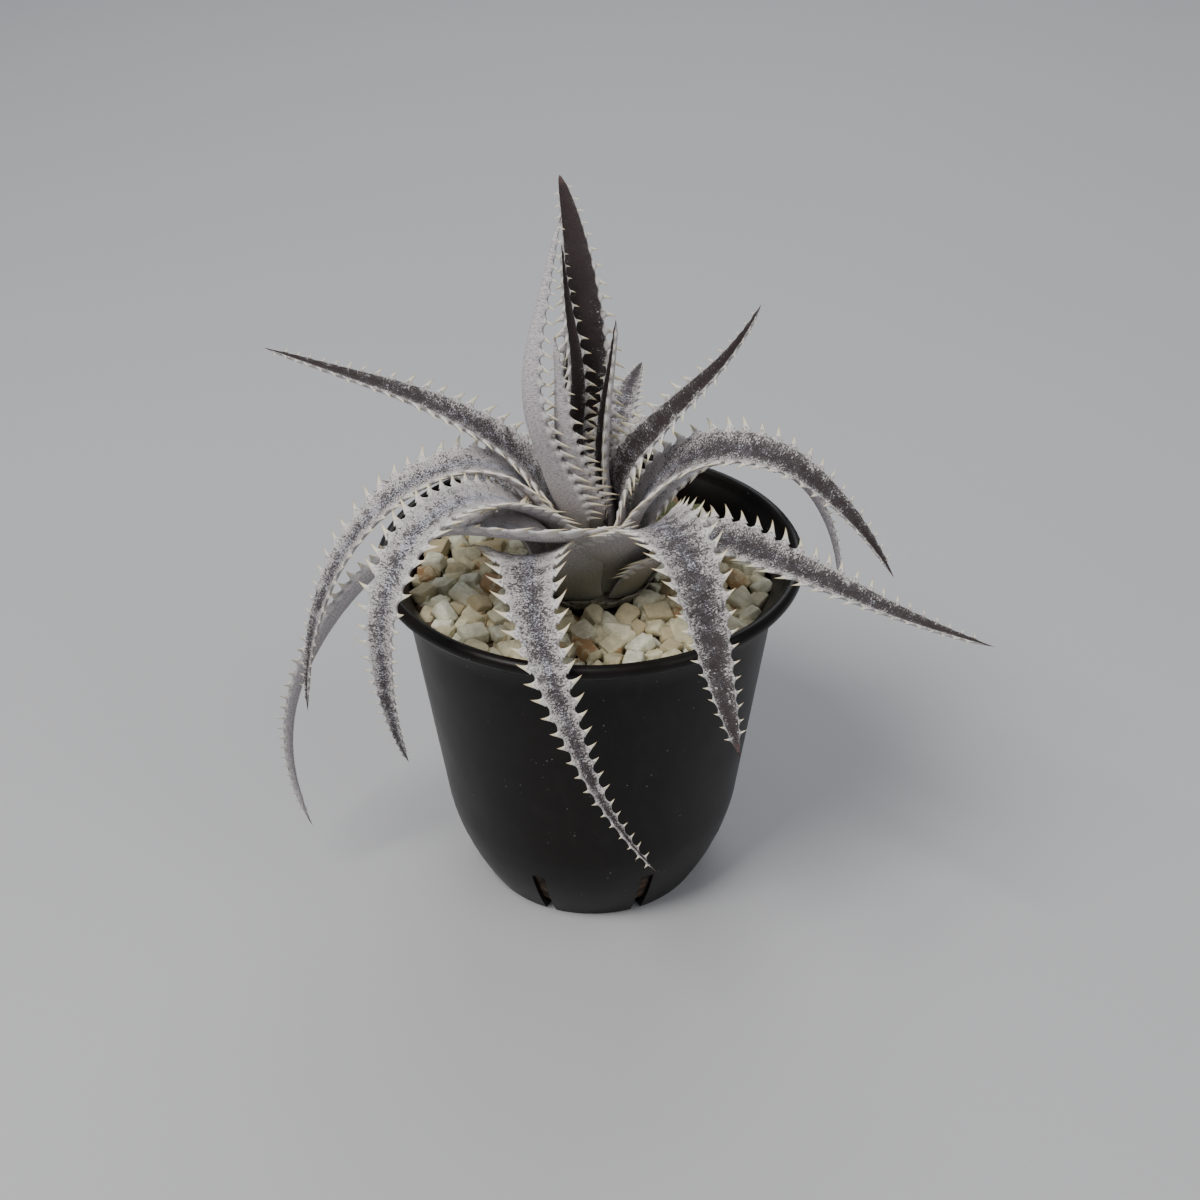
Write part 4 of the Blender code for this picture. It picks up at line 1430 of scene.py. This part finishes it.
@dataclass
class Gravel:
    """The top dressing: loose angular stones in three beds, scattered over a ring.

    A stone's own measures are shares of its size, which is in metres, and so are the other lengths.
    """

    inner_radius: float = 0.0168
    outer_radius: float = 0.0424
    ring_sides: int = 64
    kinds: int = 9
    face_points: int = 7
    lengths: Band = (0.85, 1.05)
    breadths: Band = (0.65, 0.9)
    depths: Band = (0.50, 0.66)
    corner_reach: Band = (0.55, 0.95)
    face_reach: Band = (0.9, 1.05)
    flattening: float = 14.0
    wear: float = 0.055
    crease: float = 50.0
    tumble: float = 0.5
    wobble: float = 0.0005
    most_dense: float = 400000.0
    seed: int = 5
    heights: dict[Layer, float] = field(default_factory=lambda: {
        Layer.BED: 0.0826, Layer.FILL: 0.0836, Layer.TOP: 0.0846})
    spacings: dict[Layer, float] = field(default_factory=lambda: {
        Layer.BED: 0.0042, Layer.FILL: 0.0045, Layer.TOP: 0.0060})
    sizes: dict[Layer, tuple[float, float]] = field(default_factory=lambda: {
        Layer.BED: (0.0052, 0.0062), Layer.FILL: (0.0048, 0.0066), Layer.TOP: (0.0058, 0.0086)})

    def stone(self, number: int) -> bpy.types.Mesh:
        """Knap one stone: the hull of a few points, its edges worn.

        Args:
            number: Which kind.

        Returns:
            A stone about one unit across.
        """
        draw = random.Random(self.seed * 100 + number)
        stretch = Vector([draw.uniform(*ends) for ends in (self.lengths, self.breadths, self.depths)])
        bm = bmesh.new()
        for corner in range(8):
            signs = [1 if corner >> axis & 1 else -1 for axis in range(3)]
            bm.verts.new([sign * size * 0.5 * draw.uniform(*self.corner_reach)
                          for sign, size in zip(signs, stretch)])
        for _ in range(self.face_points):
            point = Vector((draw.gauss(0, 1), draw.gauss(0, 1), draw.gauss(0, 1))).normalized()
            bm.verts.new(point * stretch * 0.5 * draw.uniform(*self.face_reach))
        bmesh.ops.convex_hull(bm, input=bm.verts)
        bmesh.ops.delete(bm, geom=[v for v in bm.verts if not v.link_faces], context="VERTS")
        bmesh.ops.dissolve_limit(bm, angle_limit=math.radians(self.flattening),
                                 verts=bm.verts, edges=bm.edges)
        bmesh.ops.bevel(bm, geom=bm.edges[:], offset=self.wear, segments=2, profile=0.5,
                        affect="EDGES", clamp_overlap=True)
        bmesh.ops.triangulate(bm, faces=bm.faces)
        bmesh.ops.recalc_face_normals(bm, faces=bm.faces)
        mesh = mesh_from(bm, f"stone_{number}")
        mesh.shade_smooth()
        mesh.set_sharp_from_angle(angle=math.radians(self.crease))
        return mesh

    def ring(self) -> bpy.types.Mesh:
        """Make the flat ring that the stones are scattered over."""
        bm = bmesh.new()
        sides = self.ring_sides
        loops = []
        for radius in (self.inner_radius, self.outer_radius):
            loops.append([bm.verts.new((radius * math.cos(math.tau * i / sides),
                                        radius * math.sin(math.tau * i / sides), 0))
                          for i in range(sides)])
        for i in range(sides):
            k = (i + 1) % sides
            bm.faces.new((loops[0][i], loops[1][i], loops[1][k], loops[0][k]))
        return mesh_from(bm, "gravel_ring")

    def scatter_tree(self) -> bpy.types.NodeTree:
        """Write the tree that scatters stones over a surface.

        Returns:
            The tree, with named inputs for one bed.
        """
        tree = bpy.data.node_groups.new("scatter_stones", "GeometryNodeTree")
        face = tree.interface
        face.new_socket("Geometry", in_out="INPUT", socket_type="NodeSocketGeometry")
        face.new_socket("Stones", in_out="INPUT", socket_type="NodeSocketCollection")
        for label in ("Spacing", "Height", "Smallest", "Largest"):
            face.new_socket(label, in_out="INPUT", socket_type="NodeSocketFloat")
        face.new_socket("Seed", in_out="INPUT", socket_type="NodeSocketInt")
        face.new_socket("Finish", in_out="INPUT", socket_type="NodeSocketMaterial")
        face.new_socket("Geometry", in_out="OUTPUT", socket_type="NodeSocketGeometry")
        sheet = NodeSheet(tree)
        source = sheet.add("NodeGroupInput").outputs

        def chance(low: object, high: object, kind: str, seed: int) -> bpy.types.NodeSocket:
            """Draw a random value between two ends, with a seed of its own."""
            node = sheet.add("FunctionNodeRandomValue", {
                "Seed": sheet.math("ADD", source["Seed"], seed)}, data_type=kind)
            ends = [s for s in node.inputs if s.enabled and s.name in ("Min", "Max")]
            sheet.feed(ends[0], low)
            sheet.feed(ends[1], high)
            return [s for s in node.outputs if s.enabled][0]

        spread = sheet.add("GeometryNodeDistributePointsOnFaces", {
            "Mesh": source["Geometry"], "Distance Min": source["Spacing"],
            "Density Max": self.most_dense, "Seed": source["Seed"]}, distribute_method="POISSON")
        wobble = chance(-self.wobble, self.wobble, "FLOAT", 5)
        lift = sheet.add("ShaderNodeCombineXYZ", {"Z": sheet.math("ADD", source["Height"], wobble)})
        raised = sheet.add("GeometryNodeSetPosition", {
            "Geometry": spread.outputs["Points"], "Offset": lift.outputs["Vector"]})
        stones = sheet.add("GeometryNodeCollectionInfo", {
            "Collection": source["Stones"], "Separate Children": True})
        tumble = chance((-self.tumble, -self.tumble, 0.0), (self.tumble, self.tumble, math.tau),
                        "FLOAT_VECTOR", 2)
        turned = sheet.add("FunctionNodeEulerToRotation", {"Euler": tumble})
        laid = sheet.add("GeometryNodeInstanceOnPoints", {
            "Points": raised.outputs["Geometry"], "Instance": stones.outputs["Instances"],
            "Pick Instance": True, "Instance Index": chance(0, self.kinds - 1, "INT", 1),
            "Rotation": turned.outputs["Rotation"],
            "Scale": chance(source["Smallest"], source["Largest"], "FLOAT", 3)})
        geometry = laid.outputs["Instances"]
        for name, seed in (("tone", 7), ("stain", 8)):
            geometry = sheet.add("GeometryNodeStoreNamedAttribute", {
                "Geometry": geometry, "Name": name, "Value": chance(0.0, 1.0, "FLOAT", seed)},
                data_type="FLOAT", domain="INSTANCE").outputs["Geometry"]
        real = sheet.add("GeometryNodeRealizeInstances", {"Geometry": geometry})
        dressed = sheet.add("GeometryNodeSetMaterial", {
            "Geometry": real.outputs["Geometry"], "Material": source["Finish"]})
        sheet.add("NodeGroupOutput", {"Geometry": dressed.outputs["Geometry"]})
        return tree

    def build(self, finish: bpy.types.Material) -> bpy.types.Object:
        """Lay the stones.

        Args:
            finish: Their material.

        Returns:
            The gravel, all beds in one piece.
        """
        kinds = bpy.data.collections.new("stone_kinds")
        for number in range(self.kinds):
            kinds.objects.link(bpy.data.objects.new(f"stone_{number}", self.stone(number)))
        tree = self.scatter_tree()
        beds = []
        for layer in Layer:
            bed = mesh_object(f"gravel_{layer.name.lower()}", self.ring())
            scatter = bed.modifiers.new("stones", "NODES")
            scatter.node_group = tree
            small, large = self.sizes[layer]
            values = {"Stones": kinds, "Spacing": self.spacings[layer], "Height": self.heights[layer],
                      "Smallest": small, "Largest": large, "Seed": self.seed + layer.value,
                      "Finish": finish}
            for name, value in values.items():
                set_input(scatter, name, value)
            beds.append(baked(bed))
        piece = joined(beds, "gravel_stones")
        for stone in list(kinds.objects):
            bpy.data.objects.remove(stone)
        bpy.data.collections.remove(kinds)
        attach(piece, "root")
        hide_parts("gravel")
        LOG.info("%s: %d faces", piece.name, len(piece.data.polygons))
        return piece


def joined(pieces: list[bpy.types.Object], name: str) -> bpy.types.Object:
    """Join mesh objects.

    Args:
        pieces: The objects, all at the origin.
        name: The name of the result.

    Returns:
        One object.
    """
    with bpy.context.temp_override(active_object=pieces[0], selected_editable_objects=pieces,
                                   selected_objects=pieces, object=pieces[0]):
        bpy.ops.object.join()
    pieces[0].name = name
    pieces[0].data.name = name
    return pieces[0]


@dataclass
class Stem:
    """The short stem and, round its foot, the torn papery bases of old leaves.

    Lengths are in metres and angles in degrees. An old base is its azimuth and its height.
    """

    rod_radius: float = 0.0050
    rod_bottom: float = 0.0600
    rod_top: float = 0.0829
    shoulder_bottom: float = 0.0837
    shoulder_radius: float = 0.0127
    shoulder_top: float = 0.0858
    head_radius: float = 0.0026
    head_height: float = 0.0972
    head_crown: float = 0.0008
    skirt_rise: float = 0.0006
    turn_steps: int = 48
    base_radius: float = 0.0143
    base_bottom: float = 0.0846
    flare: float = 0.62
    half_span: float = 29.0
    paper: float = 0.00034
    columns: int = 26
    rows: int = 9
    arch_power: float = 2.2
    arch_fullness: float = 0.8
    lowest_edge: float = 0.10
    ragged: float = 0.06
    raggedness: float = 0.7
    overlap: float = 0.00040
    crinkle: float = 0.00022
    crinkle_turns: float = 9.0
    crinkle_shift: float = 1.7
    old_bases: tuple[tuple[float, float], ...] = (
        (20, 0.0026), (60, 0.0034), (108, 0.0028), (150, 0.0034), (196, 0.0026),
        (232, 0.0030), (268, 0.0034), (306, 0.0030), (346, 0.0036))
    seed: int = 3

    def core(self) -> bpy.types.Mesh:
        """Turn the stem: a rod in the soil and a cone above it."""
        profile = [(0.0, self.head_height + self.head_crown),
                   (self.head_radius, self.head_height),
                   (self.shoulder_radius, self.shoulder_top),
                   (self.base_radius, self.base_bottom + self.skirt_rise),
                   (self.shoulder_radius, self.shoulder_bottom),
                   (self.rod_radius, self.rod_top),
                   (self.rod_radius, self.rod_bottom),
                   (0.0, self.rod_bottom)]
        mesh = bpy.data.meshes.new("stem_core")
        edges = [(i, i + 1) for i in range(len(profile) - 1)]
        mesh.from_pydata([(radius, 0.0, height) for radius, height in profile], edges, [])
        piece = mesh_object("stem_core", mesh)
        screw = piece.modifiers.new("turn", "SCREW")
        screw.steps = screw.render_steps = self.turn_steps
        screw.use_merge_vertices = True
        screw.merge_threshold = 0.00001
        return baked(piece)

    def old_base(self, number: int, azimuth: float, height: float) -> bpy.types.Object:
        """Shape one torn leaf base as a thin curved scale.

        Args:
            number: Which one, for its own ragged edge.
            azimuth: Where it stands, in degrees.
            height: How far it stands up.

        Returns:
            The scale.
        """
        draw = random.Random(self.seed * 50 + number)
        ragged = [draw.uniform(-self.ragged, self.ragged) for _ in range(self.columns + 1)]
        step_out = self.overlap * (number % 2)
        bm = bmesh.new()
        grid = []
        for i in range(self.rows + 1):
            line = []
            for j in range(self.columns + 1):
                across = 2 * j / self.columns - 1
                arch = (1 - abs(across) ** self.arch_power) ** self.arch_fullness
                edge = max(self.lowest_edge, arch) + ragged[j] * self.raggedness
                rise = height * edge * i / self.rows
                phase = across * self.crinkle_turns + number * self.crinkle_shift
                wave = self.crinkle * math.sin(phase) * (i / self.rows)
                radius = self.base_radius + step_out + self.flare * rise + wave
                angle = math.radians(azimuth + self.half_span * across)
                line.append(bm.verts.new((radius * math.cos(angle), radius * math.sin(angle),
                                          self.base_bottom + rise)))
            grid.append(line)
        for low, high in zip(grid, grid[1:]):
            for j in range(self.columns):
                bm.faces.new((low[j], low[j + 1], high[j + 1], high[j]))
        mesh = mesh_from(bm, f"old_base_{number}")
        mesh.shade_smooth()
        piece = mesh_object(mesh.name, mesh)
        wall = piece.modifiers.new("paper", "SOLIDIFY")
        wall.thickness = self.paper
        wall.offset = 0.0
        return baked(piece)

    def build(self, finish: bpy.types.Material) -> bpy.types.Object:
        """Make the stem and its old leaf bases.

        Args:
            finish: Their material.

        Returns:
            One piece.
        """
        parts = [self.core()]
        for number, (azimuth, height) in enumerate(self.old_bases):
            parts.append(self.old_base(number, azimuth, height))
        piece = joined(parts, "stem_and_old_leaf_bases")
        piece.data.materials.clear()
        piece.data.materials.append(finish)
        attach(piece, "root")
        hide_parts("stem")
        LOG.info("%s: %d faces", piece.name, len(piece.data.polygons))
        return piece


@dataclass(frozen=True)
class Lamp:
    """A soft square light: where it hangs, how high it aims on the pot's axis, and how it shines.

    Lengths are in metres and power is in watts.
    """

    name: str
    place: tuple[float, float, float]
    aim_height: float
    size: float
    power: float
    colour: Colour

    def hang(self) -> None:
        """Put the light in the scene."""
        data = bpy.data.lights.new(self.name, "AREA")
        data.size = self.size
        data.energy = self.power
        data.color = self.colour
        lamp = bpy.data.objects.new(self.name, data)
        lamp.location = self.place
        aim = Vector((0.0, 0.0, self.aim_height)) - Vector(self.place)
        lamp.rotation_euler = aim.to_track_quat("-Z", "Y").to_euler()
        bpy.context.scene.collection.objects.link(lamp)


@dataclass
class Studio:
    """A pale floor, soft light and the camera."""

    lens: float = 58.75
    sensor: float = 36.0
    pitch: float = 32.6
    roll: float = -0.44
    eye: tuple[float, float, float] = (0.00235, -0.4112, 0.34095)
    nearest: float = 0.01
    farthest: float = 30.0
    floor_size: float = 8.0
    room: Colour = (0.80, 0.85, 0.92)
    room_strength: float = 0.30
    lamps: tuple[Lamp, ...] = (
        Lamp("window", (-0.42, -0.45, 1.00), 0.10, 0.42, 11.0, (1.0, 0.975, 0.94)),
        Lamp("fill", (0.75, -0.60, 0.90), 0.08, 0.9, 3.5, (1.0, 0.98, 0.96)),
        Lamp("back", (0.10, 0.85, 0.85), 0.12, 0.8, 4.0, (0.97, 0.98, 1.0)))

    def camera(self) -> None:
        """Put the camera at the photograph's viewing angle."""
        pitch, roll = math.radians(self.pitch), math.radians(self.roll)
        forward = Vector((0.0, math.cos(pitch), -math.sin(pitch)))
        right = Vector((1.0, 0.0, 0.0))
        up = right.cross(forward)
        rolled_right = right * math.cos(roll) + up * math.sin(roll)
        rolled_up = up * math.cos(roll) - right * math.sin(roll)
        data = bpy.data.cameras.new("camera")
        data.lens = self.lens
        data.sensor_width = self.sensor
        data.clip_start = self.nearest
        data.clip_end = self.farthest
        camera = bpy.data.objects.new("camera", data)
        turn = Matrix((rolled_right, rolled_up, -forward)).transposed()
        camera.matrix_world = Matrix.Translation(self.eye) @ turn.to_4x4()
        bpy.context.scene.collection.objects.link(camera)
        bpy.context.scene.camera = camera

    def build(self, floor_finish: bpy.types.Material) -> None:
        """Set the floor, the lights and the camera.

        Args:
            floor_finish: The floor's material.
        """
        half = self.floor_size / 2
        mesh = bpy.data.meshes.new("floor")
        mesh.from_pydata([(-half, -half, 0), (half, -half, 0), (half, half, 0), (-half, half, 0)],
                         [], [(0, 1, 2, 3)])
        mesh.materials.append(floor_finish)
        mesh_object("floor", mesh)
        world = bpy.data.worlds.new("soft_room")
        world.use_nodes = True
        light = world.node_tree.nodes["Background"]
        light.inputs["Color"].default_value = (*self.room, 1.0)
        light.inputs["Strength"].default_value = self.room_strength
        bpy.context.scene.world = world
        for lamp in self.lamps:
            lamp.hang()
        self.camera()


def main() -> None:
    """Build the looks in order."""
    logging.basicConfig(level=logging.INFO, format="%(name)s %(message)s")
    Rosette().build(LeafFinish().build(), SpineFinish().build())
    Pot().build(PotFinish().build())
    Gravel().build(StoneFinish().build())
    Stem().build(SheathFinish().build())
    soil = frame["nodes"]["potting_mix"]
    soil.data.materials.clear()
    soil.data.materials.append(SoilFinish().build())
    Studio().build(FloorFinish().build())


if __name__ == "__main__":
    main()
